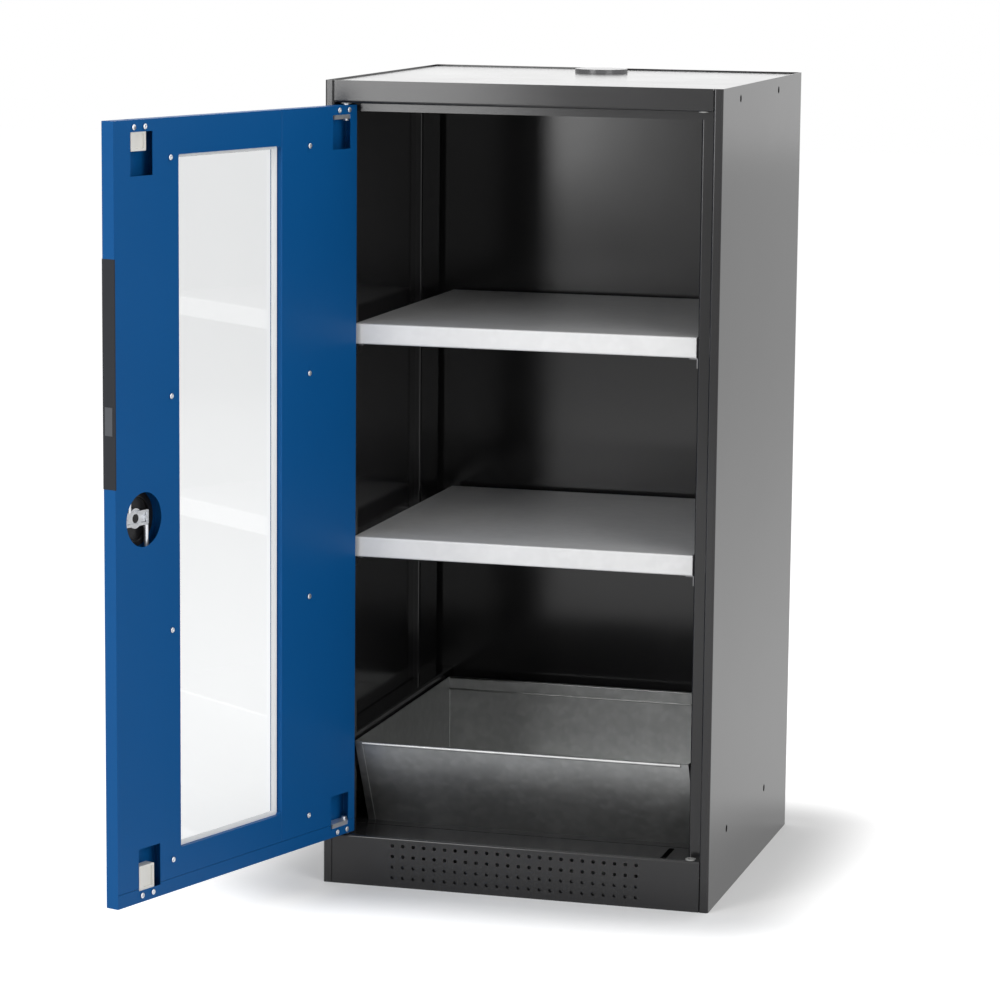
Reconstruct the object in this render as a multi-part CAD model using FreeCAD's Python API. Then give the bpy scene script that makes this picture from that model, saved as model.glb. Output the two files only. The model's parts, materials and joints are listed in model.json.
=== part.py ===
import FreeCAD, Part
import math
import os

from FreeCAD import Placement, Rotation, Vector

# Storage cabinet of folded sheet steel: one glazed wing door, two shelves, one sump tray.
# X runs to the right, Y to the back and Z up, in millimetres. The origin is the middle of the base.
# The door is stored open. It is built closed and then turned about its pivot pins.

# Whole cabinet
WIDTH = 545.0
DEPTH = 520.0
HEIGHT = 1105.0
CUT = 5.0

# Body sheet and front frame
BODY_SHEET = 1.2
BODY_BEND = 2.0
FLANGE_WIDTH = 13.0
FLANGE_HEM = 4.0
REBATE_DEPTH = 24.5
POST_REACH = 33.5
POST_LIP = 20.0
HEADER_HEIGHT = 30.0
HEADER_LIP = 12.0
PLINTH_HEIGHT = 70.0
LEDGE_DEPTH = 70.0
LEDGE_LIP = 15.0
TOP_RECESS = 2.0
TOP_FLANGE = 15.0
FLOOR_FLANGE = 18.0

# Holes that join the cabinet to its neighbour
JOINING_RADIUS = 5.0
JOINING_FRONT_INSET = 110.0
JOINING_BACK_INSET = 160.0
JOINING_BOTTOM_RIM = 91.5
JOINING_TOP_RIM = 17.5

# Perforated vent field in the plinth
VENT_RADIUS = 2.5
VENT_PITCH = 15.0
VENT_SIDES_COUNT = 12
VENT_COLUMN_COUNT = 24
VENT_ROW_COUNT = 4
VENT_CENTRE_Z = 36.0

# Base frame and levelling feet
FRAME_SHEET = 1.5
FRAME_HEIGHT = 30.0
FRAME_FLANGE = 22.0
GUSSET_SIZE = 56.0
GUSSET_SHEET = 3.0
FOOT_RADIUS = 12.0
FOOT_HEIGHT = 6.0
FOOT_STUD_RADIUS = 5.0
FOOT_STUD_LENGTH = 40.0
FOOT_INSET = 38.0

# Rear posts and the strips beside the tray
REAR_POST_WIDTH = 90.0
REAR_POST_DEPTH = 10.0
REAR_POST_GAP = 13.8
STRIP_TOP = 206.0
STRIP_DROP = 15.0

# Slots for the shelf clips
SLOT_WIDTH = 3.0
SLOT_HEIGHT = 12.0
SLOT_PITCH = 58.6
SLOT_FIRST_HEIGHT = 269.2
SLOT_END_GAP = 50.0
SLOT_SETBACK = 11.0
LOWER_SHELF_INDEX = 3
UPPER_SHELF_INDEX = 8

# Shelves and their clips
SHELF_SHEET = 1.0
SHELF_BEND = 1.2
SHELF_SIDE_GAP = 2.0
SHELF_FRONT_GAP = 1.0
SHELF_BACK_GAP = 18.8
SHELF_EDGE = 28.0
SHELF_RETURN = 12.0
CLIP_SHEET = 2.0
CLIP_BEND = 0.5
CLIP_LEG = 14.0
CLIP_SEAT = 10.0
CLIP_LENGTH = 12.0
CLIP_REACH = 10.0
TONGUE_WIDTH = 2.6
TONGUE_HEIGHT = 6.0
TONGUE_GRIP = 2.0

# Sump tray
TRAY_SHEET = 1.0
TRAY_SIDE_GAP = 3.0
TRAY_HEIGHT = 126.0
TRAY_FRONT_GAP = 3.5
TRAY_LEAN_DEPTH = 64.5
TRAY_BACK_GAP = 30.8
TRAY_BEAD_RADIUS = 2.5
TRAY_FLANGE = 10.0
TRAY_FLANGE_GAP = 1.0
TRAY_HEM_HEIGHT = 18.0
TRAY_HEM_GAP = 2.0

# Exhaust connection in the top
COLLAR_RADIUS = 37.5
COLLAR_WALL = 1.5
COLLAR_RISE = 5.0
COLLAR_FLANGE = 10.0
COLLAR_FLANGE_SHEET = 1.5
COLLAR_Y = 170.0
COLLAR_STEP = 1.0
COLLAR_FIT = 0.1
CAP_SHEET = 2.0
CAP_DROP = 4.0
CAP_FIT = 0.05

# Door
DOOR_OPEN = 108.0
DOOR_GAP = 3.0
DOOR_TOP_GAP = 3.0
DOOR_BOTTOM_GAP = 2.0
DOOR_THICKNESS = 20.0
DOOR_SHEET = 1.0
DOOR_BEND = 1.5
DOOR_HEM = 18.0
SEAM = 0.5
STILE_TRIM = 1.5

# Door window
WINDOW_HINGE_MARGIN = 170.5
WINDOW_LOCK_MARGIN = 128.5
WINDOW_BOTTOM_MARGIN = 56.0
WINDOW_TOP_MARGIN = 47.0
WINDOW_CORNER = 3.0
WINDOW_RETURN = 9.0
PANE_THICKNESS = 5.0
PANE_COVER = 10.0
GASKET_THICKNESS = 2.0
GASKET_REVEAL = 2.0
GASKET_COVER = 8.0

# Stiffeners in the door and their screws
HINGE_STIFFENER_MARGIN = 62.5
LOCK_STIFFENER_MARGIN = 17.0
STIFFENER_FOOT = 7.0
STIFFENER_OFFSET = 10.0
STIFFENER_CAP = 22.0
STIFFENER_END_GAP = 2.0
SCREW_BOTTOM_MARGIN = 43.0
SCREW_TOP_MARGIN = 50.0
SCREW_COUNT = 4
SCREW_RADIUS = 2.0
SCREW_HEAD_RADIUS = 4.2
SCREW_CROWN_RADIUS = 2.8
SCREW_HEAD_HEIGHT = 2.2
SCREW_LENGTH = 7.0
SCREW_FIT = 0.05

# Pivot pins of the door
PIVOT_INSET = 14.0
PIVOT_SETBACK = 9.5
PIN_RADIUS = 4.0
PIN_FIT = 0.05
PIN_PASSAGE = 1.0
PIN_ENGAGEMENT = 12.0
PIN_TAIL = 3.0
BUSH_RADIUS = 5.5
BUSH_FLANGE_RADIUS = 7.0
BUSH_FLANGE = 1.4
BUSH_LENGTH = 12.0

# Hinge arms in the door
ARM_THICKNESS = 4.0
ARM_SPAN = 34.0
ARM_OVERLAP = 6.0
ARM_DROP = 14.0
ARM_LEG = 12.0
ARM_LEG_SHEET = 3.0
ARM_SCREW_INSET = 9.0
ARM_SCREW_RISE = 6.0
HINGE_CUT_OFFSET = 4.5
HINGE_CUT_WIDTH = 40.0
HINGE_CUT_HEIGHT = 46.0
HINGE_CUT_RIM = 12.0

# Lock
LOCK_INSET = 56.5
LOCK_DROP = 4.0
LOCK_HOLE_RADIUS = 35.0
HOUSING_FLANGE_RADIUS = 37.0
HOUSING_FLANGE = 2.5
HOUSING_RADIUS = 30.0
HOUSING_FLOOR = 0.8
HOUSING_WALL = 1.5
HOUSING_DEPTH = 5.0
HOUSING_FIT = 0.2
LINER_WIDTH = 7.0
LINER_DEPTH = 3.0
STEM_RADIUS = 6.0
STEM_FIT = 0.05
KNOB_GAP = 0.3
KNOB_BASE_RADIUS = 22.0
KNOB_BASE = 5.0
KNOB_GRIP_RADIUS = 20.0
KNOB_GRIP_WIDTH = 18.0
KNOB_GRIP_HEIGHT = 15.0
KNOB_CHAMFER = 1.5
CYLINDER_RADIUS = 6.5
CYLINDER_PROUD = 1.0
CYLINDER_DEPTH = 10.0
KEYWAY_WIDTH = 2.0
KEYWAY_HEIGHT = 7.5
KEYWAY_DEPTH = 6.0

# Cam, forks and rods
CRANK = 17.0
CAM_GAP = 1.0
CAM_THICKNESS = 4.0
CAM_HUB_RADIUS = 13.0
CAM_ARM_WIDTH = 12.0
CRANK_PIN_RADIUS = 2.5
CRANK_PIN_END = 0.3
FORK_GAP = 0.5
FORK_THICKNESS = 2.5
FORK_PLAY = 3.8
FORK_TINE = 3.2
FORK_BACK = 3.4
FORK_END_GAP = 0.3
ROD_RADIUS = 3.0
ROD_FIT = 0.05
ROD_END_GAP = 1.0
ROD_PASSAGE = 1.0
BOTTOM_ROD_OFFSET = 8.0
ROD_BEND_RADIUS = 60.0
ROD_BEND_HIGH = 60.0
ROD_BEND_LOW = 60.0

# Guides of the rods and the cut-outs that show them
GUIDE_WIDTH = 30.0
GUIDE_OFFSET = 10.5
TOP_GUIDE_HEIGHT = 24.0
BOTTOM_GUIDE_HEIGHT = 32.0
GUIDE_NECK = 13.0
GUIDE_DEPTH = 13.0
GUIDE_WALL = 3.0
GUIDE_POCKET = 3.0
GUIDE_ROUNDING = 1.0
GUIDE_SCREW_SPACING = 22.0
GUIDE_SCREW_RIM = 9.0
LATCH_CUT_WIDTH = 44.0
LATCH_CUT_HEIGHT = 55.0
LATCH_CUT_RIM = 15.0
LATCH_CUT_OVERLAP = 2.0
KEEPER_WIDTH = 8.0
KEEPER_START = 4.0
KEEPER_LENGTH = 58.0

# Edge grip
GRIP_RISE = 44.0
GRIP_LENGTH = 289.5
GRIP_WIDTH = 28.0
GRIP_WALL = 2.5
GRIP_RECESS = 13.0
GRIP_TRIM = 2.0
GRIP_ROUNDING = 1.0
INSERT_RISE = 68.0
INSERT_LENGTH = 36.0
INSERT_PROUD = 0.4
INSERT_HEIGHT_SHARE = 0.6

# Places that follow from the sizes above
HALF = WIDTH / 2
FRONT = -DEPTH / 2
BACK = DEPTH / 2
INSIDE = HALF - BODY_SHEET
BACK_INSIDE = BACK - BODY_SHEET
FRONT_INSIDE = FRONT + BODY_SHEET
OPENING = HALF - FLANGE_WIDTH
STOP_Y = FRONT + REBATE_DEPTH
POST_X = HALF - POST_REACH
HEADER_Z = HEIGHT - HEADER_HEIGHT
TOP_Z = HEIGHT - TOP_RECESS
TOP_UNDER = TOP_Z - BODY_SHEET
FLOOR_UNDER = PLINTH_HEIGHT - BODY_SHEET
LEDGE_Y = FRONT + LEDGE_DEPTH
REAR_POST_BACK = BACK_INSIDE - REAR_POST_GAP
REAR_POST_FRONT = REAR_POST_BACK - REAR_POST_WIDTH
REAR_POST_X = INSIDE - REAR_POST_DEPTH
FRONT_SLOT_Y = STOP_Y + SLOT_SETBACK
REAR_SLOT_Y = (REAR_POST_FRONT + REAR_POST_BACK) / 2
SHELF_X = POST_X - SHELF_SIDE_GAP
DOOR_EDGE = OPENING - DOOR_GAP
DOOR_BOTTOM = PLINTH_HEIGHT + DOOR_BOTTOM_GAP
DOOR_TOP = HEADER_Z - DOOR_TOP_GAP
DOOR_BACK = FRONT + DOOR_THICKNESS
PANEL_UNDER = DOOR_BACK - DOOR_SHEET
SKIN_INSIDE = FRONT + DOOR_SHEET
PIVOT_X = PIVOT_INSET - OPENING
PIVOT_Y = FRONT + PIVOT_SETBACK
PANE_FRONT = SKIN_INSIDE + GASKET_THICKNESS
PANE_BACK = PANE_FRONT + PANE_THICKNESS
GASKET_BACK = PANE_BACK + GASKET_THICKNESS
WINDOW_LEFT = WINDOW_HINGE_MARGIN - DOOR_EDGE
WINDOW_RIGHT = DOOR_EDGE - WINDOW_LOCK_MARGIN
WINDOW_BOTTOM = DOOR_BOTTOM + WINDOW_BOTTOM_MARGIN
WINDOW_TOP = DOOR_TOP - WINDOW_TOP_MARGIN
STILE_EDGE = WINDOW_LEFT - GASKET_REVEAL
HINGE_STIFFENER_X = WINDOW_LEFT - HINGE_STIFFENER_MARGIN
LOCK_STIFFENER_X = WINDOW_RIGHT + LOCK_STIFFENER_MARGIN
LOCK_X = DOOR_EDGE - LOCK_INSET
LOCK_Z = (DOOR_BOTTOM + DOOR_TOP) / 2 - LOCK_DROP
GRIP_BOTTOM = LOCK_Z + GRIP_RISE
GRIP_TOP = GRIP_BOTTOM + GRIP_LENGTH
INSERT_BOTTOM = GRIP_BOTTOM + INSERT_RISE
INSERT_TOP = INSERT_BOTTOM + INSERT_LENGTH
HOUSING_INSIDE = FRONT + HOUSING_FLOOR
CAM_FRONT = HOUSING_INSIDE + CAM_GAP
CAM_BACK = CAM_FRONT + CAM_THICKNESS
FORK_FRONT = CAM_BACK + FORK_GAP
FORK_SLOT = CRANK_PIN_RADIUS + FORK_PLAY
FORK_EDGE = FORK_SLOT + FORK_TINE
FORK_REACH = CRANK + CRANK_PIN_RADIUS + FORK_BACK
ROD_Y = FORK_FRONT + ROD_RADIUS
TOP_ROD_X = LOCK_X + CRANK
BOTTOM_ROD_LOCK_X = LOCK_X - CRANK
BOTTOM_ROD_X = LOCK_X + BOTTOM_ROD_OFFSET


def box(x, y, z):
    """Block between a low and a high limit on each axis."""
    return Part.makeBox(x[1] - x[0], y[1] - y[0], z[1] - z[0], Vector(x[0], y[0], z[0]))


def bar(radius, start, end):
    """Round bar between two centre points."""
    return Part.makeCylinder(radius, (end - start).Length, start, end - start)


def bar_y(radius, x, z, low, high):
    return bar(radius, Vector(x, low, z), Vector(x, high, z))


def bar_z(radius, x, y, low, high):
    return bar(radius, Vector(x, y, low), Vector(x, y, high))


def span(middle, half):
    """Low and high limit at equal distances from a middle."""
    return (middle - half, middle + half)


def mirrored(shape):
    """The same piece for the other side of the cabinet."""
    return shape.mirror(Vector(0, 0, 0), Vector(1, 0, 0))


def both_sides(shapes):
    return shapes + [mirrored(shape) for shape in shapes]


def group(shapes):
    return Part.makeCompound(shapes)


def upside_down(shape):
    """A door fitting for the bottom edge, made from the one at the top edge."""
    return shape.mirror(Vector(0, 0, (DOOR_TOP + DOOR_BOTTOM) / 2), Vector(0, 0, 1))


def edges_along(shape, axis):
    """Straight edges that run along an axis."""
    found = []
    for edge in shape.Edges:
        way = edge.Vertexes[-1].Point - edge.Vertexes[0].Point
        if way.Length > 0 and way.cross(axis).Length < way.Length / HEIGHT:
            found.append(edge)
    return found


def rounded_plate(x, y, z, radius):
    """Upright block with its four edges along Y rounded."""
    plate = box(x, y, z)
    return plate.makeFillet(radius, edges_along(plate, Vector(0, 1, 0)))


def direction(start, end):
    way = end - start
    return way.normalize()


def left_of(way):
    return Vector(-way.y, way.x, 0)


def line(start, end):
    return Part.LineSegment(start, end).toShape()


def rounded_path(points, radii):
    """Straight runs along the points, with each corner turned as an arc."""
    edges = []
    here = points[0]
    for corner, before, after, radius in zip(points[1:], points, points[2:], radii):
        into = direction(before, corner)
        out = direction(corner, after)
        half_turn = into.getAngle(out) / 2
        run = radius * math.tan(half_turn)
        depth = radius * (1 / math.cos(half_turn) - 1)
        first = corner - into * run
        last = corner + out * run
        middle = corner + direction(into, out) * depth
        edges.append(line(here, first))
        edges.append(Part.Arc(first, middle, last).toShape())
        here = last
    edges.append(line(here, points[-1]))
    return edges


def folded_section(outline, thickness, bend):
    """Section of a folded sheet. The outline is its visible side and the sheet lies on its left."""
    face = [Vector(u, v, 0) for u, v in outline]
    ways = [direction(start, end) for start, end in zip(face, face[1:])]
    hidden = [face[0] + left_of(ways[0]) * thickness]
    face_radii = []
    hidden_radii = []
    for corner, into, out in zip(face[1:], ways, ways[1:]):
        across = left_of(into) + left_of(out)
        hidden.append(corner + across * (thickness / (1 + into.dot(out))))
        turns_left = left_of(into).dot(out) > 0
        face_radii.append(bend + thickness if turns_left else bend)
        hidden_radii.append(bend if turns_left else bend + thickness)
    hidden.append(face[-1] + left_of(ways[-1]) * thickness)
    edges = rounded_path(face, face_radii) + rounded_path(hidden, hidden_radii)
    edges.append(line(face[0], hidden[0]))
    edges.append(line(face[-1], hidden[-1]))
    return Part.Face(Part.Wire(Part.__sortEdges__(edges)))


def laid_along(section, axis, start, end):
    """Prism of a section along an axis. The section holds the other two axes in X, Y, Z order."""
    solid = section.extrude(Vector(0, 0, end - start))
    if axis == "x":
        solid.Placement = Placement(Vector(start, 0, 0), Rotation(Vector(1, 1, 1), 120))
    elif axis == "y":
        solid.Placement = Placement(Vector(0, end, 0), Rotation(Vector(1, 0, 0), 90))
    else:
        solid.Placement = Placement(Vector(0, 0, start), Rotation())
    return solid


def sheet(outline, thickness, bend, axis, start, end):
    return laid_along(folded_section(outline, thickness, bend), axis, start, end)


def prism(outline, axis, start, end):
    points = [Vector(u, v, 0) for u, v in outline]
    section = Part.Face(Part.makePolygon(points + points[:1]))
    return laid_along(section, axis, start, end)


def opened(shape):
    """Door piece turned from closed to the stored open place."""
    turned = shape.copy()
    turned.rotate(Vector(PIVOT_X, PIVOT_Y, 0), Vector(0, 0, 1), -DOOR_OPEN)
    return turned


# Body of the cabinet


def right_side_panel():
    outline = [(OPENING, STOP_Y), (OPENING, FRONT), (HALF, FRONT), (HALF, BACK)]
    panel = sheet(outline, BODY_SHEET, BODY_BEND, "z", 0, HEIGHT)
    behind_hem = (FRONT + FLANGE_HEM, STOP_Y + CUT)
    beside_web = (OPENING - CUT, INSIDE)
    above = box(beside_web, behind_hem, (HEADER_Z, HEIGHT + CUT))
    below = box(beside_web, behind_hem, (-CUT, PLINTH_HEIGHT))
    holes = []
    for y in (FRONT + JOINING_FRONT_INSET, BACK - JOINING_BACK_INSET):
        for z in (JOINING_BOTTOM_RIM, HEIGHT - JOINING_TOP_RIM):
            holes.append(bar(JOINING_RADIUS, Vector(INSIDE - CUT, y, z), Vector(HALF + CUT, y, z)))
    return panel.cut([above, below] + holes)


def back_panel():
    return box((-INSIDE, INSIDE), (BACK_INSIDE, BACK), (0, HEIGHT))


def top_panel():
    low = TOP_Z - TOP_FLANGE
    outline = [(INSIDE, low), (INSIDE, TOP_Z), (-INSIDE, TOP_Z), (-INSIDE, low)]
    panel = sheet(outline, BODY_SHEET, BODY_BEND, "y", FRONT_INSIDE, BACK_INSIDE)
    hole = bar_z(COLLAR_RADIUS + COLLAR_STEP + COLLAR_FIT, 0, COLLAR_Y, low, HEIGHT)
    hem = box((OPENING, HALF), (FRONT, FRONT + FLANGE_HEM), (low - CUT, HEIGHT))
    return panel.cut([hole, hem, mirrored(hem)])


def header_rail():
    lip = HEADER_Z - HEADER_LIP
    outline = [(FRONT, HEIGHT), (FRONT, HEADER_Z), (STOP_Y, HEADER_Z), (STOP_Y, lip)]
    rail = sheet(outline, BODY_SHEET, BODY_BEND, "x", -OPENING, OPENING)
    around = (HEADER_Z - CUT, HEADER_Z + CUT)
    cuts = both_sides([bar_z(BUSH_RADIUS, PIVOT_X, PIVOT_Y, *around)])
    cuts.append(bar_z(ROD_RADIUS + ROD_PASSAGE, TOP_ROD_X, ROD_Y, *around))
    return rail.cut(cuts)


def vent_punch(x, z):
    """Many-sided bar for one hole of the perforation, which keeps the sheet light in faces."""
    corners = []
    for side in range(VENT_SIDES_COUNT):
        turn = math.tau * side / VENT_SIDES_COUNT
        corners.append((x + VENT_RADIUS * math.cos(turn), z + VENT_RADIUS * math.sin(turn)))
    return prism(corners, "y", FRONT - CUT, FRONT + CUT)


def vent_field():
    """Bars that punch the perforation of the plinth."""
    bars = []
    for column in range(VENT_COLUMN_COUNT):
        for row in range(VENT_ROW_COUNT):
            x = (column - (VENT_COLUMN_COUNT - 1) / 2) * VENT_PITCH
            z = VENT_CENTRE_Z + (row - (VENT_ROW_COUNT - 1) / 2) * VENT_PITCH
            bars.append(vent_punch(x, z))
    return bars


def keeper_slot():
    """Long slot in the ledge that the bottom rod drops into."""
    start = FRONT + KEEPER_START
    across = span(BOTTOM_ROD_X, KEEPER_WIDTH / 2)
    slot = box(across, (start, start + KEEPER_LENGTH), (FLOOR_UNDER - CUT, PLINTH_HEIGHT + CUT))
    return slot.makeFillet(KEEPER_WIDTH / 2 - SEAM, edges_along(slot, Vector(0, 0, 1)))


def plinth_panel():
    outline = [(LEDGE_Y, PLINTH_HEIGHT - LEDGE_LIP), (LEDGE_Y, PLINTH_HEIGHT)]
    outline += [(FRONT, PLINTH_HEIGHT), (FRONT, 0)]
    panel = sheet(outline, BODY_SHEET, BODY_BEND, "x", -OPENING, OPENING)
    ear_depth = (FRONT + FLANGE_HEM, LEDGE_Y - BODY_BEND - BODY_SHEET)
    ear = box((OPENING, INSIDE), ear_depth, (FLOOR_UNDER, PLINTH_HEIGHT))
    panel = panel.fuse([ear, mirrored(ear)]).removeSplitter()
    bushes = both_sides([bar_z(BUSH_RADIUS, PIVOT_X, PIVOT_Y, FLOOR_UNDER - CUT, PLINTH_HEIGHT + CUT)])
    return panel.cut(vent_field() + bushes + [keeper_slot()])


def base_floor():
    low = PLINTH_HEIGHT - FLOOR_FLANGE
    outline = [(INSIDE, low), (INSIDE, PLINTH_HEIGHT), (-INSIDE, PLINTH_HEIGHT), (-INSIDE, low)]
    return sheet(outline, BODY_SHEET, BODY_BEND, "y", LEDGE_Y, BACK_INSIDE)


def base_frame():
    ends = (FRONT + FLANGE_HEM, BACK_INSIDE)
    frame = box((-INSIDE, INSIDE), ends, (0, FRAME_HEIGHT))
    wall = INSIDE - FRAME_SHEET
    inner_depth = (ends[0] + FRAME_SHEET, ends[1] - FRAME_SHEET)
    inner = box((-wall, wall), inner_depth, (FRAME_SHEET, FRAME_HEIGHT + CUT))
    flange = INSIDE - FRAME_FLANGE
    middle = box((-flange, flange), (ends[0] + FRAME_FLANGE, ends[1] - FRAME_FLANGE), (-CUT, FRAME_HEIGHT))
    return frame.cut([inner, middle])


def foot_places():
    x = INSIDE - FOOT_INSET
    rows = (FRONT + FLANGE_HEM + FOOT_INSET, BACK_INSIDE - FOOT_INSET)
    return [(side * x, y) for side in (-1, 1) for y in rows]


def foot_gussets():
    """Corner plates that carry the levelling feet."""
    wall = INSIDE - FRAME_SHEET
    front = FRONT + FLANGE_HEM + FRAME_SHEET
    back = BACK_INSIDE - FRAME_SHEET
    z = (FRAME_HEIGHT - GUSSET_SHEET, FRAME_HEIGHT)
    plates = []
    for corner, inward in ((front, GUSSET_SIZE), (back, -GUSSET_SIZE)):
        outline = [(wall, corner), (wall, corner + inward), (wall - GUSSET_SIZE / 2, corner + inward)]
        outline += [(wall - GUSSET_SIZE, corner + inward / 2), (wall - GUSSET_SIZE, corner)]
        plates.append(prism(outline, "z", *z))
    studs = [bar_z(FOOT_STUD_RADIUS, x, y, 0, FRAME_HEIGHT + CUT) for x, y in foot_places()]
    return group([plate.cut(studs) for plate in both_sides(plates)])


def levelling_feet():
    feet = []
    for x, y in foot_places():
        glide = bar_z(FOOT_RADIUS, x, y, 0, FOOT_HEIGHT)
        stud = bar_z(FOOT_STUD_RADIUS, x, y, 0, FOOT_HEIGHT + FOOT_STUD_LENGTH)
        feet.append(glide.fuse(stud).removeSplitter())
    return group(feet)


def slot_heights():
    """Bottoms of the slots, as many as the front posts have room for."""
    last = HEADER_Z - HEADER_LIP - SLOT_END_GAP
    count = int((last - SLOT_FIRST_HEIGHT) / SLOT_PITCH) + 1
    return [SLOT_FIRST_HEIGHT + index * SLOT_PITCH for index in range(count)]


def clip_slots(x, y):
    """Cuts for one column of clip slots."""
    return [box(x, span(y, SLOT_WIDTH / 2), (z, z + SLOT_HEIGHT)) for z in slot_heights()]


def right_front_post():
    outline = [(POST_X, STOP_Y + POST_LIP), (POST_X, STOP_Y), (INSIDE, STOP_Y), (INSIDE, STOP_Y + POST_LIP)]
    post = sheet(outline, BODY_SHEET, BODY_BEND, "z", PLINTH_HEIGHT, HEADER_Z - HEADER_LIP)
    return post.cut(clip_slots((POST_X - CUT, POST_X + CUT), FRONT_SLOT_Y))


def right_rear_post():
    outline = [(INSIDE, REAR_POST_BACK), (REAR_POST_X, REAR_POST_BACK)]
    outline += [(REAR_POST_X, REAR_POST_FRONT), (INSIDE, REAR_POST_FRONT)]
    post = sheet(outline, BODY_SHEET, BODY_BEND, "z", STRIP_TOP, TOP_Z - TOP_FLANGE)
    return post.cut(clip_slots((REAR_POST_X - CUT, REAR_POST_X + CUT), REAR_SLOT_Y))


def right_tray_strip():
    """Channel that closes the gap between the tray and the side, so that drips run into the tray."""
    low = STRIP_TOP - STRIP_DROP
    outline = [(INSIDE, low), (INSIDE, STRIP_TOP), (POST_X, STRIP_TOP), (POST_X, low)]
    return sheet(outline, BODY_SHEET, BODY_BEND, "y", STOP_Y + POST_LIP, BACK_INSIDE)


def hinge_bushes():
    """Bushes for the door pins, on both sides so that the door can be hung on either."""
    low = bar_z(BUSH_FLANGE_RADIUS, PIVOT_X, PIVOT_Y, PLINTH_HEIGHT, PLINTH_HEIGHT + BUSH_FLANGE)
    low = low.fuse(bar_z(BUSH_RADIUS, PIVOT_X, PIVOT_Y, PLINTH_HEIGHT - BUSH_LENGTH, PLINTH_HEIGHT))
    high = bar_z(BUSH_FLANGE_RADIUS, PIVOT_X, PIVOT_Y, HEADER_Z - BUSH_FLANGE, HEADER_Z)
    high = high.fuse(bar_z(BUSH_RADIUS, PIVOT_X, PIVOT_Y, HEADER_Z, HEADER_Z + BUSH_LENGTH))
    bore = bar_z(PIN_RADIUS + PIN_FIT, PIVOT_X, PIVOT_Y, 0, HEIGHT)
    return group(both_sides([low.cut(bore), high.cut(bore)]))


def exhaust_collar():
    top = TOP_Z + COLLAR_RISE
    bottom = TOP_UNDER - COLLAR_FLANGE_SHEET
    spigot = bar_z(COLLAR_RADIUS, 0, COLLAR_Y, bottom, top)
    shoulder = bar_z(COLLAR_RADIUS + COLLAR_STEP, 0, COLLAR_Y, bottom, TOP_Z)
    flange = bar_z(COLLAR_RADIUS + COLLAR_FLANGE, 0, COLLAR_Y, bottom, TOP_UNDER)
    bore = bar_z(COLLAR_RADIUS - COLLAR_WALL, 0, COLLAR_Y, bottom - CUT, top + CUT)
    return spigot.fuse([shoulder, flange]).removeSplitter().cut(bore)


def exhaust_cap():
    """Push-in cap: a disc level with the collar and a short skirt inside it."""
    top = TOP_Z + COLLAR_RISE
    radius = COLLAR_RADIUS - COLLAR_WALL - CAP_FIT
    disc = bar_z(radius, 0, COLLAR_Y, top - CAP_SHEET - CAP_DROP, top)
    hollow = bar_z(radius - CAP_SHEET, 0, COLLAR_Y, top - CAP_SHEET - CAP_DROP - CUT, top - CAP_SHEET)
    return disc.cut(hollow)


# Shelves, clips and tray


def shelf_bottom(slot):
    return SLOT_FIRST_HEIGHT + slot * SLOT_PITCH + CLIP_SEAT


def shelf(slot):
    low = shelf_bottom(slot)
    top = low + SHELF_EDGE
    front = STOP_Y + SHELF_FRONT_GAP
    back = BACK_INSIDE - SHELF_BACK_GAP
    outline = [(back - SHELF_RETURN, low), (back, low), (back, top)]
    outline += [(front, top), (front, low), (front + SHELF_RETURN, low)]
    tray = sheet(outline, SHELF_SHEET, SHELF_BEND, "x", -SHELF_X, SHELF_X)
    between = (front + SHELF_SHEET, back - SHELF_SHEET)
    flange = box((SHELF_X - SHELF_SHEET, SHELF_X), between, (low, top - SHELF_SHEET))
    return tray.fuse([flange, mirrored(flange)]).removeSplitter()


def clip(post_x, y, slot):
    """Bent clip with a tongue through its slot. The shelf rests on its upper leg."""
    seat = shelf_bottom(slot)
    outline = [(post_x, seat - CLIP_LEG), (post_x, seat), (SHELF_X - CLIP_REACH, seat)]
    leg = sheet(outline, CLIP_SHEET, CLIP_BEND, "y", *span(y, CLIP_LENGTH / 2))
    tongue_bottom = seat - CLIP_SEAT
    tongue = (tongue_bottom, tongue_bottom + TONGUE_HEIGHT)
    through = (post_x - CLIP_SHEET / 2, post_x + BODY_SHEET + TONGUE_GRIP)
    return leg.fuse(box(through, span(y, TONGUE_WIDTH / 2), tongue)).removeSplitter()


def shelf_clips(slot):
    return group(both_sides([clip(POST_X, FRONT_SLOT_Y, slot), clip(REAR_POST_X, REAR_SLOT_Y, slot)]))


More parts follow.
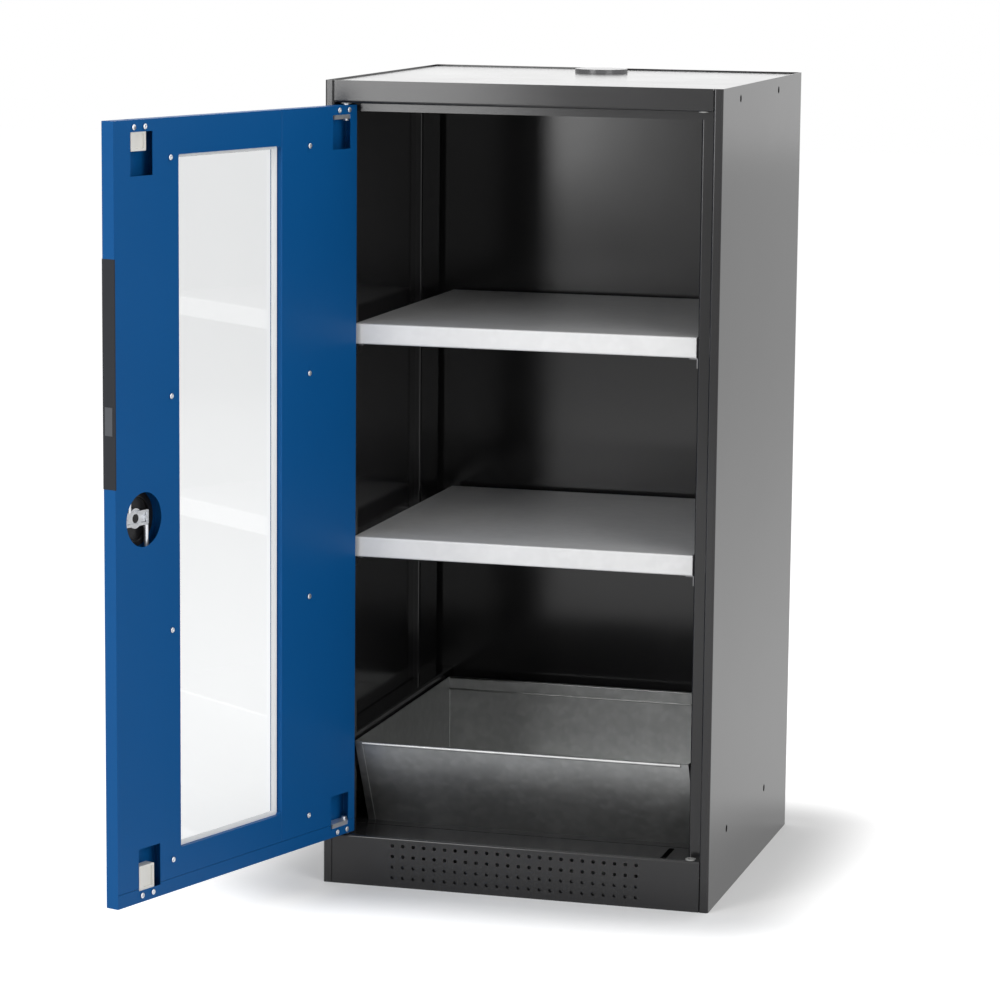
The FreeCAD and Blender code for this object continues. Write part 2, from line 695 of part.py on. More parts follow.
def sump_tray():
    """Welded tray with a leaning front, a rolled bead on it and a hem along the back."""
    half = POST_X - TRAY_SIDE_GAP
    low = PLINTH_HEIGHT
    top = low + TRAY_HEIGHT
    rim = STOP_Y + TRAY_FRONT_GAP
    toe = rim + TRAY_LEAN_DEPTH
    back = BACK_INSIDE - TRAY_BACK_GAP
    slant = TRAY_SHEET * math.hypot(TRAY_LEAN_DEPTH, TRAY_HEIGHT) / TRAY_HEIGHT
    per_mm = TRAY_LEAN_DEPTH / TRAY_HEIGHT
    outer = prism([(toe, low), (back, low), (back, top), (rim, top)], "x", -half, half)
    floor = low + TRAY_SHEET
    above = top + CUT
    inner_outline = [(toe - TRAY_SHEET * per_mm + slant, floor), (back - TRAY_SHEET, floor)]
    inner_outline += [(back - TRAY_SHEET, above), (toe - (above - low) * per_mm + slant, above)]
    tray = outer.cut(prism(inner_outline, "x", TRAY_SHEET - half, half - TRAY_SHEET))
    bead_half = half - TRAY_FLANGE - TRAY_FLANGE_GAP
    bead = bar(TRAY_BEAD_RADIUS, Vector(-bead_half, rim, top), Vector(bead_half, rim, top))
    bead.translate(Vector(0, 0, -TRAY_BEAD_RADIUS))
    flap_outline = [(toe, low), (rim, top), (rim - slant, top), (toe - slant, low)]
    flap = prism(flap_outline, "x", half - TRAY_FLANGE, half)
    hem_front = back - TRAY_SHEET - TRAY_HEM_GAP - TRAY_SHEET
    hem_outline = [(hem_front, top - TRAY_HEM_HEIGHT), (hem_front, top), (back, top)]
    hem_section = [(u, v) for u, v in reversed(hem_outline)]
    hem = sheet(hem_section, TRAY_SHEET, TRAY_SHEET / 2, "x", TRAY_SHEET - half, half - TRAY_SHEET)
    return tray.fuse([bead, flap, mirrored(flap), hem]).removeSplitter()


# Door, built closed


def door_outer_skin():
    depth = (FRONT, PANEL_UNDER)
    pan = box((-DOOR_EDGE, DOOR_EDGE), depth, (DOOR_BOTTOM, DOOR_TOP))
    front_edges = [edge for edge in pan.Edges if edge.BoundBox.YMax - FRONT < DOOR_SHEET / 2]
    pan = pan.makeFillet(DOOR_BEND + DOOR_SHEET, front_edges)
    edge = DOOR_EDGE - DOOR_SHEET
    hollow = box((-edge, edge), (SKIN_INSIDE, DOOR_BACK), (DOOR_BOTTOM + DOOR_SHEET, DOOR_TOP - DOOR_SHEET))
    inner_edges = [edge for edge in hollow.Edges if edge.BoundBox.YMax - SKIN_INSIDE < DOOR_SHEET / 2]
    pan = pan.cut(hollow.makeFillet(DOOR_BEND, inner_edges))
    hem_height = (DOOR_BOTTOM, DOOR_BOTTOM + DOOR_HEM)
    hem = box((-DOOR_EDGE + STILE_TRIM, DOOR_EDGE), (PANEL_UNDER, DOOR_BACK), hem_height)
    window = window_block(0, FRONT - CUT, SKIN_INSIDE + CUT)
    lock = bar_y(HOUSING_RADIUS + HOUSING_FIT, LOCK_X, LOCK_Z, FRONT - CUT, SKIN_INSIDE + CUT)
    grip = box((DOOR_EDGE - GRIP_WIDTH, DOOR_EDGE + CUT), (FRONT - CUT, DOOR_BACK), (GRIP_BOTTOM, GRIP_TOP))
    pan = pan.fuse(hem).removeSplitter().cut([window, lock, grip])
    pan = pan.cut(edge_holes() + bottom_fitting_cuts())
    return pan


def edge_holes():
    """Holes in the top and bottom edge of the door for its pins and rods."""
    cuts = []
    for low, high in ((DOOR_BOTTOM - CUT, DOOR_BOTTOM + CUT), (DOOR_TOP - CUT, DOOR_TOP + CUT)):
        cuts.append(bar_z(PIN_RADIUS + PIN_PASSAGE, PIVOT_X, PIVOT_Y, low, high))
    cuts.append(bar_z(ROD_RADIUS + ROD_PASSAGE, TOP_ROD_X, ROD_Y, DOOR_TOP - CUT, DOOR_TOP + CUT))
    cuts.append(bar_z(ROD_RADIUS + ROD_PASSAGE, BOTTOM_ROD_X, ROD_Y, DOOR_BOTTOM - CUT, DOOR_BOTTOM + CUT))
    return cuts


def window_block(margin, low, high):
    """Block through the window, larger than it by a margin all round."""
    across = (WINDOW_LEFT - margin, WINDOW_RIGHT + margin)
    return rounded_plate(across, (low, high), (WINDOW_BOTTOM - margin, WINDOW_TOP + margin), WINDOW_CORNER)


def screw_places():
    """Evenly spaced screws along both stiffeners."""
    first = DOOR_BOTTOM + SCREW_BOTTOM_MARGIN
    pitch = (DOOR_TOP - SCREW_TOP_MARGIN - first) / (SCREW_COUNT - 1)
    columns = (HINGE_STIFFENER_X, LOCK_STIFFENER_X)
    return [(x, first + row * pitch) for x in columns for row in range(SCREW_COUNT)]


def top_guide_screw_places():
    z = DOOR_TOP - GUIDE_SCREW_RIM
    return [(x, z) for x in span(guide_centre(TOP_ROD_X), GUIDE_SCREW_SPACING / 2)]


def bottom_guide_screw_places():
    z = DOOR_BOTTOM + GUIDE_SCREW_RIM
    return [(x, z) for x in span(guide_centre(BOTTOM_ROD_X), GUIDE_SCREW_SPACING / 2)]


def arm_screw_places(z):
    right = arm_span()[1] - ARM_SCREW_INSET
    left = arm_span()[0] + ARM_SCREW_INSET + ARM_OVERLAP
    return [(left, z), (right, z)]


def arm_span():
    return (PIVOT_X - ARM_OVERLAP, PIVOT_X + ARM_SPAN + ARM_OVERLAP)


def screw_holes(places):
    radius = SCREW_RADIUS + SCREW_FIT
    depth = (DOOR_BACK - SCREW_LENGTH - CUT, DOOR_BACK + CUT)
    return [bar_y(radius, x, z, *depth) for x, z in places]


def screws(places):
    """Pan-head screws set into the inner face of the door."""
    made = []
    for x, z in places:
        seat = Vector(x, DOOR_BACK, z)
        head = Part.makeCone(SCREW_HEAD_RADIUS, SCREW_CROWN_RADIUS, SCREW_HEAD_HEIGHT, seat, Vector(0, 1, 0))
        shank = bar_y(SCREW_RADIUS, x, z, DOOR_BACK - SCREW_LENGTH, DOOR_BACK)
        made.append(head.fuse(shank))
    return group(made)


def guide_centre(rod_x):
    return rod_x - GUIDE_OFFSET


def latch_cut(rod_x):
    right = guide_centre(rod_x) + GUIDE_WIDTH / 2 + LATCH_CUT_OVERLAP
    top = DOOR_TOP - LATCH_CUT_RIM
    across = (right - LATCH_CUT_WIDTH, right)
    return box(across, (PANEL_UNDER - CUT, DOOR_BACK + CUT), (top - LATCH_CUT_HEIGHT, top))


def hinge_cut():
    top = DOOR_TOP - HINGE_CUT_RIM
    left = PIVOT_X + HINGE_CUT_OFFSET
    across = (left, left + HINGE_CUT_WIDTH)
    return box(across, (PANEL_UNDER - CUT, DOOR_BACK + CUT), (top - HINGE_CUT_HEIGHT, top))


def bottom_fitting_cuts():
    """Cuts near the bottom edge of the door that reach the folded hem and the panels above it."""
    cuts = [upside_down(latch_cut(BOTTOM_ROD_X)), upside_down(hinge_cut())]
    places = bottom_guide_screw_places() + arm_screw_places(DOOR_BOTTOM + ARM_SCREW_RISE)
    return cuts + screw_holes(places)


def door_inner_panel():
    bottom = DOOR_BOTTOM + DOOR_HEM + SEAM
    left = STILE_EDGE + SEAM
    panel = box((left, DOOR_EDGE), (PANEL_UNDER, DOOR_BACK), (bottom, DOOR_TOP))
    frame = window_block(DOOR_SHEET, DOOR_BACK - WINDOW_RETURN - DOOR_SHEET, PANEL_UNDER)
    panel = panel.fuse(frame)
    panel = panel.cut(window_block(0, FRONT, BACK))
    beside = (STILE_EDGE - FLANGE_WIDTH, left)
    panel = panel.cut(box(beside, (FRONT, BACK), (DOOR_BOTTOM, DOOR_TOP)))
    window_side = (STILE_EDGE - CUT, WINDOW_LEFT + WINDOW_CORNER)
    inner_z = (WINDOW_BOTTOM + WINDOW_CORNER, WINDOW_TOP - WINDOW_CORNER)
    panel = panel.cut(box(window_side, (FRONT, BACK), inner_z)).removeSplitter()
    lock = bar_y(LOCK_HOLE_RADIUS, LOCK_X, LOCK_Z, PANEL_UNDER - CUT, DOOR_BACK + CUT)
    through = (PANEL_UNDER - CUT, DOOR_BACK + CUT)
    grip = box((DOOR_EDGE - GRIP_TRIM, DOOR_EDGE + CUT), through, (GRIP_BOTTOM, GRIP_TOP))
    cuts = [lock, grip, latch_cut(TOP_ROD_X)] + bottom_fitting_cuts()
    return panel.cut(cuts + screw_holes(screw_places() + top_guide_screw_places()))


def hinge_stile_cover():
    bottom = DOOR_BOTTOM + DOOR_HEM + SEAM
    fold = (STILE_EDGE, DOOR_BACK - WINDOW_RETURN - DOOR_SHEET)
    outline = [fold, (STILE_EDGE, DOOR_BACK), (STILE_TRIM - DOOR_EDGE, DOOR_BACK)]
    cover = sheet(outline, DOOR_SHEET, DOOR_SHEET / 2, "z", bottom, DOOR_TOP)
    beside = (STILE_EDGE - FLANGE_HEM, STILE_EDGE + CUT)
    top_edge = box(beside, (FRONT, PANEL_UNDER), (DOOR_TOP - DOOR_SHEET - SEAM, DOOR_TOP))
    arm_holes = screw_holes(arm_screw_places(DOOR_TOP - ARM_SCREW_RISE))
    cuts = [top_edge, hinge_cut()] + bottom_fitting_cuts() + arm_holes
    return cover.cut(cuts + screw_holes(screw_places()))


def stiffener(x, side):
    """Z-shaped stiffener between the skin and the inner panel. Its foot lies on the given side."""
    web = x + side * STIFFENER_OFFSET
    foot = web + side * STIFFENER_FOOT
    cap = web - side * STIFFENER_CAP
    under_panel = PANEL_UNDER - DOOR_SHEET
    outline = [(foot, SKIN_INSIDE), (web, SKIN_INSIDE), (web, under_panel), (cap, under_panel)]
    if side > 0:
        outline.reverse()
    low = DOOR_BOTTOM + DOOR_SHEET + STIFFENER_END_GAP
    high = DOOR_TOP - DOOR_SHEET - STIFFENER_END_GAP
    made = sheet(outline, DOOR_SHEET, DOOR_SHEET / 2, "z", low, high)
    return made.cut(screw_holes(screw_places()))


def window_pane():
    across = (WINDOW_LEFT - PANE_COVER, WINDOW_RIGHT + PANE_COVER)
    upright = (WINDOW_BOTTOM - PANE_COVER, WINDOW_TOP + PANE_COVER)
    return rounded_plate(across, (PANE_FRONT, PANE_BACK), upright, WINDOW_CORNER)


def gasket(low, high, reveal):
    """Flat sealing frame against the pane, showing inside the window by its reveal."""
    return window_block(GASKET_COVER, low, high).cut(window_block(-reveal, low - CUT, high + CUT))


def pin(low, high):
    made = bar_z(PIN_RADIUS, PIVOT_X, PIVOT_Y, low, high)
    tip = [edge for edge in made.Edges if edge.BoundBox.ZMin > high - PIN_RADIUS / 4]
    return made.makeChamfer(PIN_RADIUS / 4, tip)


def top_hinge_pin():
    start = DOOR_TOP - ARM_DROP - ARM_THICKNESS - PIN_TAIL
    return pin(start, HEADER_Z + PIN_ENGAGEMENT)


def bottom_hinge_pin():
    start = DOOR_BOTTOM + ARM_DROP + ARM_THICKNESS + PIN_TAIL
    low = PLINTH_HEIGHT - PIN_ENGAGEMENT
    made = bar_z(PIN_RADIUS, PIVOT_X, PIVOT_Y, low, start)
    tip = [edge for edge in made.Edges if edge.BoundBox.ZMax < low + PIN_RADIUS / 4]
    return made.makeChamfer(PIN_RADIUS / 4, tip)


def top_hinge_arm():
    """Bent arm that holds the top pin, screwed to the inner face of the door."""
    seat = DOOR_TOP - ARM_DROP
    across = arm_span()
    depth = span(PIVOT_Y, ARM_OVERLAP)
    plate = box(across, (depth[0], PANEL_UNDER), (seat - ARM_THICKNESS, seat))
    plate = plate.makeFillet(ARM_OVERLAP / 2, edges_along(plate, Vector(0, 0, 1)))
    leg = box(across, (PANEL_UNDER - ARM_LEG_SHEET, PANEL_UNDER), (seat - ARM_THICKNESS, seat + ARM_LEG))
    bore = bar_z(PIN_RADIUS, PIVOT_X, PIVOT_Y, seat - ARM_THICKNESS - CUT, seat + CUT)
    holes = screw_holes(arm_screw_places(DOOR_TOP - ARM_SCREW_RISE))
    return plate.fuse(leg).removeSplitter().cut([bore] + holes)


# Lock and rods, built with the door closed


def lock_housing():
    flange = bar_y(HOUSING_FLANGE_RADIUS, LOCK_X, LOCK_Z, FRONT - HOUSING_FLANGE, FRONT)
    body = bar_y(HOUSING_RADIUS, LOCK_X, LOCK_Z, FRONT, FRONT + HOUSING_DEPTH)
    dish = bar_y(HOUSING_RADIUS - HOUSING_WALL, LOCK_X, LOCK_Z, HOUSING_INSIDE, FRONT + HOUSING_DEPTH + CUT)
    bore = bar_y(STEM_RADIUS + STEM_FIT, LOCK_X, LOCK_Z, FRONT - HOUSING_FLANGE - CUT, HOUSING_INSIDE + CUT)
    rim = [edge for edge in flange.Edges if edge.BoundBox.YMax < FRONT - HOUSING_FLANGE / 2]
    flange = flange.makeChamfer(HOUSING_FLANGE / 2, rim)
    return flange.fuse(body).cut([dish, bore])


def lock_liner():
    """Black ring behind the skin that holds the housing and hides the edge of its hole."""
    high = SKIN_INSIDE + LINER_DEPTH
    ring = bar_y(HOUSING_RADIUS + LINER_WIDTH, LOCK_X, LOCK_Z, SKIN_INSIDE, high)
    return ring.cut(bar_y(HOUSING_RADIUS + HOUSING_FIT, LOCK_X, LOCK_Z, SKIN_INSIDE - CUT, high + CUT))


def knob_face():
    return FRONT - HOUSING_FLANGE - KNOB_GAP


def lock_knob():
    """Turning knob with a flat grip, on a stem that reaches the cam."""
    face = knob_face()
    base = bar_y(KNOB_BASE_RADIUS, LOCK_X, LOCK_Z, face - KNOB_BASE, face)
    base_rim = [edge for edge in base.Edges if edge.BoundBox.YMax < face - KNOB_BASE / 2]
    base = base.makeChamfer(KNOB_CHAMFER, base_rim)
    end = face - KNOB_BASE - KNOB_GRIP_HEIGHT
    grip = bar_y(KNOB_GRIP_RADIUS, LOCK_X, LOCK_Z, end, face - KNOB_BASE / 2)
    flat = box(span(LOCK_X, KNOB_GRIP_WIDTH / 2), (end - CUT, face), span(LOCK_Z, KNOB_BASE_RADIUS))
    grip = grip.common(flat)
    grip_rim = [edge for edge in grip.Edges if edge.BoundBox.YMax < end + KNOB_CHAMFER]
    grip = grip.makeChamfer(KNOB_CHAMFER, grip_rim)
    stem = bar_y(STEM_RADIUS, LOCK_X, LOCK_Z, face - KNOB_BASE / 2, CAM_BACK)
    socket = bar_y(CYLINDER_RADIUS, LOCK_X, LOCK_Z, end - CUT, end + CYLINDER_DEPTH)
    return base.fuse([grip, stem]).cut(socket).removeSplitter()


def key_cylinder():
    end = knob_face() - KNOB_BASE - KNOB_GRIP_HEIGHT
    plug = bar_y(CYLINDER_RADIUS, LOCK_X, LOCK_Z, end - CYLINDER_PROUD, end + CYLINDER_DEPTH)
    depth = (end - CYLINDER_PROUD - CUT, end - CYLINDER_PROUD + KEYWAY_DEPTH)
    return plug.cut(box(span(LOCK_X, KEYWAY_WIDTH / 2), depth, span(LOCK_Z, KEYWAY_HEIGHT / 2)))


def lock_cam():
    """Cam with two arms. Each arm carries the crank pin that drives a rod."""
    depth = (CAM_FRONT, CAM_BACK)
    arm = box(span(LOCK_X, CRANK), depth, span(LOCK_Z, CAM_ARM_WIDTH / 2))
    pieces = [bar_y(CAM_HUB_RADIUS, LOCK_X, LOCK_Z, *depth)]
    pin_end = FORK_FRONT + FORK_THICKNESS + CRANK_PIN_END
    for x in span(LOCK_X, CRANK):
        pieces.append(bar_y(CAM_ARM_WIDTH / 2, x, LOCK_Z, *depth))
        pieces.append(bar_y(CRANK_PIN_RADIUS, x, LOCK_Z, CAM_FRONT, pin_end))
    stem = bar_y(STEM_RADIUS, LOCK_X, LOCK_Z, CAM_FRONT - CUT, CAM_BACK + CUT)
    return arm.fuse(pieces).removeSplitter().cut(stem)


def fork(side):
    """Flat fork that rides on a crank pin and lifts or lowers its rod."""
    depth = (FORK_FRONT, FORK_FRONT + FORK_THICKNESS)
    near = LOCK_X + side * FORK_END_GAP
    far = LOCK_X + side * FORK_REACH
    slot_end = LOCK_X + side * (FORK_REACH - FORK_BACK + SEAM)
    plate = box(sorted((near, far)), depth, span(LOCK_Z, FORK_EDGE))
    plate = plate.makeFillet(FORK_TINE / 2, edges_along(plate, Vector(0, 1, 0)))
    through = (depth[0] - CUT, depth[1] + CUT)
    slot = box(sorted((near - side * CUT, slot_end)), through, span(LOCK_Z, FORK_SLOT))
    return plate.cut(slot)


def top_rod():
    return bar_z(ROD_RADIUS, TOP_ROD_X, ROD_Y, LOCK_Z + FORK_EDGE, DOOR_TOP - ROD_END_GAP)


def bottom_rod():
    """Bent rod: down from its fork, across to the latch side and straight down to the edge."""
    start = LOCK_Z - FORK_EDGE
    low = DOOR_BOTTOM + LATCH_CUT_RIM + LATCH_CUT_HEIGHT + ROD_BEND_LOW
    points = [Vector(BOTTOM_ROD_LOCK_X, ROD_Y, z) for z in (start, start - ROD_BEND_HIGH)]
    points += [Vector(BOTTOM_ROD_X, ROD_Y, low), Vector(BOTTOM_ROD_X, ROD_Y, DOOR_BOTTOM + ROD_END_GAP)]
    path = Part.Wire(rounded_path(points, [ROD_BEND_RADIUS, ROD_BEND_RADIUS]))
    profile = Part.Wire(Part.makeCircle(ROD_RADIUS, points[0], Vector(0, 0, 1)))
    return path.makePipeShell([profile], True, False)


def rod_guide(rod_x, height):
    """Die-cast block at the top edge that a rod slides through, with a neck behind the rim of the door."""
    centre = guide_centre(rod_x)
    high = DOOR_TOP - LATCH_CUT_RIM
    low = high - height
    depth = (PANEL_UNDER - GUIDE_DEPTH, PANEL_UNDER)
    block = box(span(centre, GUIDE_WIDTH / 2), depth, (low, high))
    block = block.makeFillet(GUIDE_ROUNDING, edges_along(block, Vector(0, 1, 0)))
    neck = box(span(centre, GUIDE_WIDTH / 2), depth, (high - GUIDE_ROUNDING - CUT, high + GUIDE_NECK))
    pocket_x = (centre - GUIDE_WIDTH / 2 + GUIDE_WALL, rod_x - ROD_RADIUS - GUIDE_WALL / 2)
    pocket_y = (PANEL_UNDER - GUIDE_POCKET, PANEL_UNDER + CUT)
    pocket = box(pocket_x, pocket_y, (low + GUIDE_WALL, high - GUIDE_WALL))
    bore = bar_z(ROD_RADIUS + ROD_FIT, rod_x, ROD_Y, low - CUT, DOOR_TOP + CUT)
    return block.fuse(neck).removeSplitter().cut([pocket, bore])


def top_rod_guide():
    return rod_guide(TOP_ROD_X, TOP_GUIDE_HEIGHT).cut(screw_holes(top_guide_screw_places()))


def bottom_rod_guide():
    guide = upside_down(rod_guide(BOTTOM_ROD_X, BOTTOM_GUIDE_HEIGHT))
    return guide.cut(screw_holes(bottom_guide_screw_places()))


def door_grip():
    """Moulded grip: the edge of the door with a finger recess open to the outside."""
    outer = DOOR_EDGE
    inner = DOOR_EDGE - GRIP_WIDTH
    low = FRONT + GRIP_RECESS
    body = box((inner, outer), (FRONT, low + GRIP_WALL), (GRIP_BOTTOM, GRIP_TOP))
    edge = box((outer - GRIP_TRIM, outer), (FRONT, DOOR_BACK), (GRIP_BOTTOM, GRIP_TOP))
    ends = (GRIP_BOTTOM + GRIP_WALL, GRIP_TOP - GRIP_WALL)
    recess = box((inner + GRIP_WALL, outer - GRIP_WALL), (FRONT - CUT, low), ends)
    recess = recess.makeFillet(GRIP_WALL / 2, edges_along(recess, Vector(0, 0, 1)))
    web = box((outer - GRIP_WALL, outer), (FRONT, PANEL_UNDER), (GRIP_BOTTOM, GRIP_TOP))
    grip = body.fuse([edge, web]).removeSplitter()
    rim = outer - GRIP_WALL / 4
    corners = [edge for edge in edges_along(grip, Vector(0, 0, 1)) if edge.BoundBox.XMin > rim]
    return grip.makeFillet(GRIP_ROUNDING, corners).cut([recess, insert_block(0)])


def insert_block(proud):
    """Block of the insert let into the edge of the grip, standing proud by the given amount."""
    half = DOOR_THICKNESS * INSERT_HEIGHT_SHARE / 2
    middle = (FRONT + DOOR_BACK) / 2
    across = (DOOR_EDGE - GRIP_TRIM / 2, DOOR_EDGE + proud + (0 if proud else CUT))
    return box(across, span(middle, half), (INSERT_BOTTOM, INSERT_TOP))


def grip_insert():
    return insert_block(INSERT_PROUD)


BODY_PARTS = {
    "left_side_panel": lambda: mirrored(right_side_panel()),
    "right_side_panel": right_side_panel,
    "back_panel": back_panel,
    "top_panel": top_panel,
    "header_rail": header_rail,
    "plinth_panel": plinth_panel,
    "base_floor": base_floor,
    "base_frame": base_frame,
    "foot_gussets": foot_gussets,
    "levelling_feet": levelling_feet,
    "left_front_post": lambda: mirrored(right_front_post()),
    "right_front_post": right_front_post,
    "left_rear_post": lambda: mirrored(right_rear_post()),
    "right_rear_post": right_rear_post,
    "left_tray_strip": lambda: mirrored(right_tray_strip()),
    "right_tray_strip": right_tray_strip,
    "hinge_bushes": hinge_bushes,
    "exhaust_collar": exhaust_collar,
    "exhaust_cap": exhaust_cap,
    "upper_shelf_clips": lambda: shelf_clips(UPPER_SHELF_INDEX),
    "lower_shelf_clips": lambda: shelf_clips(LOWER_SHELF_INDEX),
    "upper_shelf": lambda: shelf(UPPER_SHELF_INDEX),
    "lower_shelf": lambda: shelf(LOWER_SHELF_INDEX),
    "sump_tray": sump_tray,
}

DOOR_PARTS = {
    "door_outer_skin": door_outer_skin,
    "door_inner_panel": door_inner_panel,
    "hinge_stile_cover": hinge_stile_cover,
    "hinge_side_stiffener": lambda: stiffener(HINGE_STIFFENER_X, -1),
    "lock_side_stiffener": lambda: stiffener(LOCK_STIFFENER_X, 1),
    "window_pane": window_pane,
    "outer_window_gasket": lambda: gasket(SKIN_INSIDE, PANE_FRONT, 0),
    "inner_window_gasket": lambda: gasket(PANE_BACK, GASKET_BACK, GASKET_REVEAL),
    "door_screws": lambda: screws(screw_places()),
    "door_grip": door_grip,
    "grip_insert": grip_insert,
    "top_hinge_pin": top_hinge_pin,
    "bottom_hinge_pin": bottom_hinge_pin,
    "top_hinge_arm": top_hinge_arm,
    "bottom_hinge_arm": lambda: upside_down(top_hinge_arm()),
    "hinge_screws": lambda: screws(arm_screw_places(DOOR_TOP - ARM_SCREW_RISE)
                                   + arm_screw_places(DOOR_BOTTOM + ARM_SCREW_RISE)),
    "top_rod_guide": top_rod_guide,
    "bottom_rod_guide": bottom_rod_guide,
    "guide_screws": lambda: screws(top_guide_screw_places() + bottom_guide_screw_places()),
    "lock_housing": lock_housing,
    "lock_liner": lock_liner,
    "lock_knob": lock_knob,
    "key_cylinder": key_cylinder,
    "lock_cam": lock_cam,
    "top_rod": top_rod,
    "top_rod_fork": lambda: fork(1),
    "bottom_rod": bottom_rod,
    "bottom_rod_fork": lambda: fork(-1),
}


def main():
    os.makedirs("parts", exist_ok=True)
    for name, make in BODY_PARTS.items():
        write(name, make())
    for name, make in DOOR_PARTS.items():
        write(name, opened(make()))


def write(name, shape):
    """Write one piece, after looking that it is sound."""
    if not shape.Solids or not shape.isValid():
        raise ValueError(name + " has no sound solid")
    print(name, len(shape.Solids), round(shape.Volume / 1000, 2))
    shape.exportStep("parts/" + name + ".step")


main()
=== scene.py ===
import json
import math

import bmesh
import bpy
from bpy.props import FloatProperty, FloatVectorProperty, PointerProperty
from bpy.types import Operator, Panel, PropertyGroup
from mathutils import Euler, Matrix, Vector


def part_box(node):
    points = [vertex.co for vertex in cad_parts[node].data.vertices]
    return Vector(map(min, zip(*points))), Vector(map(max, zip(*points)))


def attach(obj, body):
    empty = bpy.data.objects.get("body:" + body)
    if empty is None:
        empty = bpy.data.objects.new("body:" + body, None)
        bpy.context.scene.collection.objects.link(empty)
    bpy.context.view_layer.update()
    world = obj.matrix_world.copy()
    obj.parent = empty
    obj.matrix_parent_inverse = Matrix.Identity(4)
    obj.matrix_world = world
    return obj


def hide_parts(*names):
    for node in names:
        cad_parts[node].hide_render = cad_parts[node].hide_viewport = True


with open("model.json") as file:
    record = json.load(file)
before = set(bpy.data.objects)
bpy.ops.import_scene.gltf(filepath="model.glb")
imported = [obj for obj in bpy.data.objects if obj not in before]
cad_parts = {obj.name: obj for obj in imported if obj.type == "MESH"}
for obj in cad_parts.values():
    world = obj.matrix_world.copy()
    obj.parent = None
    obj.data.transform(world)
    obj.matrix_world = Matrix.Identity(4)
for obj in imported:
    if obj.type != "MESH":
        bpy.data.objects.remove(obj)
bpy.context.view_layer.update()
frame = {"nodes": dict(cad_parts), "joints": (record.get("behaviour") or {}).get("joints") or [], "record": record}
cad_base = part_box("base_frame")[1]

bl_info = {
    "name": "Wing-door chemical cabinet",
    "version": (1, 0, 0),
    "blender": (4, 5, 0),
    "location": "3D View > Sidebar > Cabinet",
    "description": "Finishes, fine pieces and stage of a steel cabinet with a glazed wing door",
    "category": "Object",
}


# Properties that a user would change


def colour(name, description, default):
    return FloatVectorProperty(name=name, description=description, default=default, size=3, min=0, max=1,
                               subtype="COLOR")


def share(name, description, default, top=1.0):
    return FloatProperty(name=name, description=description, default=default, min=0, max=top,
                         subtype="FACTOR")


def measure(unit, name, description, default, **limits):
    return FloatProperty(name=name, description=description, default=default, unit=unit, **limits)


def length(name, description, default):
    return measure("LENGTH", name, description, default, min=0, precision=5)


def angle(name, description, default):
    return measure("ROTATION", name, description, default)


def power(name, description, default):
    return measure("POWER", name, description, default, min=0)


class CabinetFinishes(PropertyGroup):
    body: colour("Body", "Powder coat of the body sheets", (0.017, 0.0167, 0.0175))
    body_gloss: share("Body roughness", "Roughness of the body coat", 0.15)
    base: colour("Base", "Coat of the base frame", (0.022, 0.022, 0.024))
    shelf: colour("Shelf", "Galvanised sheet of the shelves", (0.74, 0.74, 0.74))
    shelf_gloss: share("Shelf roughness", "Mean roughness of the shelf sheet", 0.42)
    shelf_metal: share("Shelf metal", "How metallic the dulled shelf sheet looks", 0.2)
    door: colour("Door", "Powder coat of the door", (0.003, 0.090, 0.288))
    door_gloss: share("Door roughness", "Roughness of the door coat", 0.40)
    tray: colour("Tray", "Galvanised sheet of the tray", (0.47, 0.475, 0.47))
    tray_gloss: share("Tray roughness", "Mean roughness of the tray sheet", 0.38)
    zinc: colour("Zinc", "Plating of the fittings, rods and screws", (0.86, 0.88, 0.91))
    zinc_gloss: share("Zinc roughness", "Mean roughness of the plating", 0.34)
    clip: colour("Clip", "Dark steel of the shelf clips", (0.16, 0.16, 0.165))
    casting: colour("Casting", "Pale die-cast guides of the rods", (0.82, 0.81, 0.77))
    casting_gloss: share("Casting roughness", "Roughness of the guides", 0.42)
    pane: colour("Pane", "Tint of the safety glass", (0.87, 0.88, 0.885))
    pane_shadow: share("Pane shadow", "How much of a shadow the glass throws", 0.12)
    gasket: colour("Gasket", "Sealing tape of the window", (0.62, 0.63, 0.64))
    gasket_gloss: share("Gasket roughness", "Roughness of the sealing tape", 0.55)
    sealant: colour("Sealant", "Bead of sealant round the pane", (0.82, 0.83, 0.84))
    sealant_gloss: share("Sealant roughness", "Roughness of the bead", 0.45)
    grip: colour("Grip", "Moulded grip in the edge of the door", (0.020, 0.022, 0.027))
    grip_gloss: share("Grip roughness", "Roughness of the grip", 0.60)
    insert: colour("Insert", "Insert in the grip", (0.07, 0.075, 0.085))
    insert_gloss: share("Insert roughness", "Roughness of the insert", 0.40)
    lock: colour("Lock", "Moulded parts of the lock", (0.010, 0.010, 0.011))
    lock_gloss: share("Lock roughness", "Roughness of the lock's mouldings", 0.30)
    key: colour("Key cylinder", "Plating of the key cylinder", (0.72, 0.71, 0.69))
    key_gloss: share("Key cylinder roughness", "Roughness of the key cylinder", 0.18)
    bush: colour("Bush", "Hinge bushes", (0.35, 0.35, 0.34))
    bush_gloss: share("Bush roughness", "Roughness of the bushes", 0.38)
    collar: colour("Collar", "Exhaust collar and its cap", (0.16, 0.16, 0.165))
    collar_gloss: share("Collar roughness", "Roughness of the collar and its cap", 0.20)
    foot: colour("Foot", "Levelling feet", (0.020, 0.020, 0.021))
    foot_gloss: share("Foot roughness", "Roughness of the feet", 0.45)


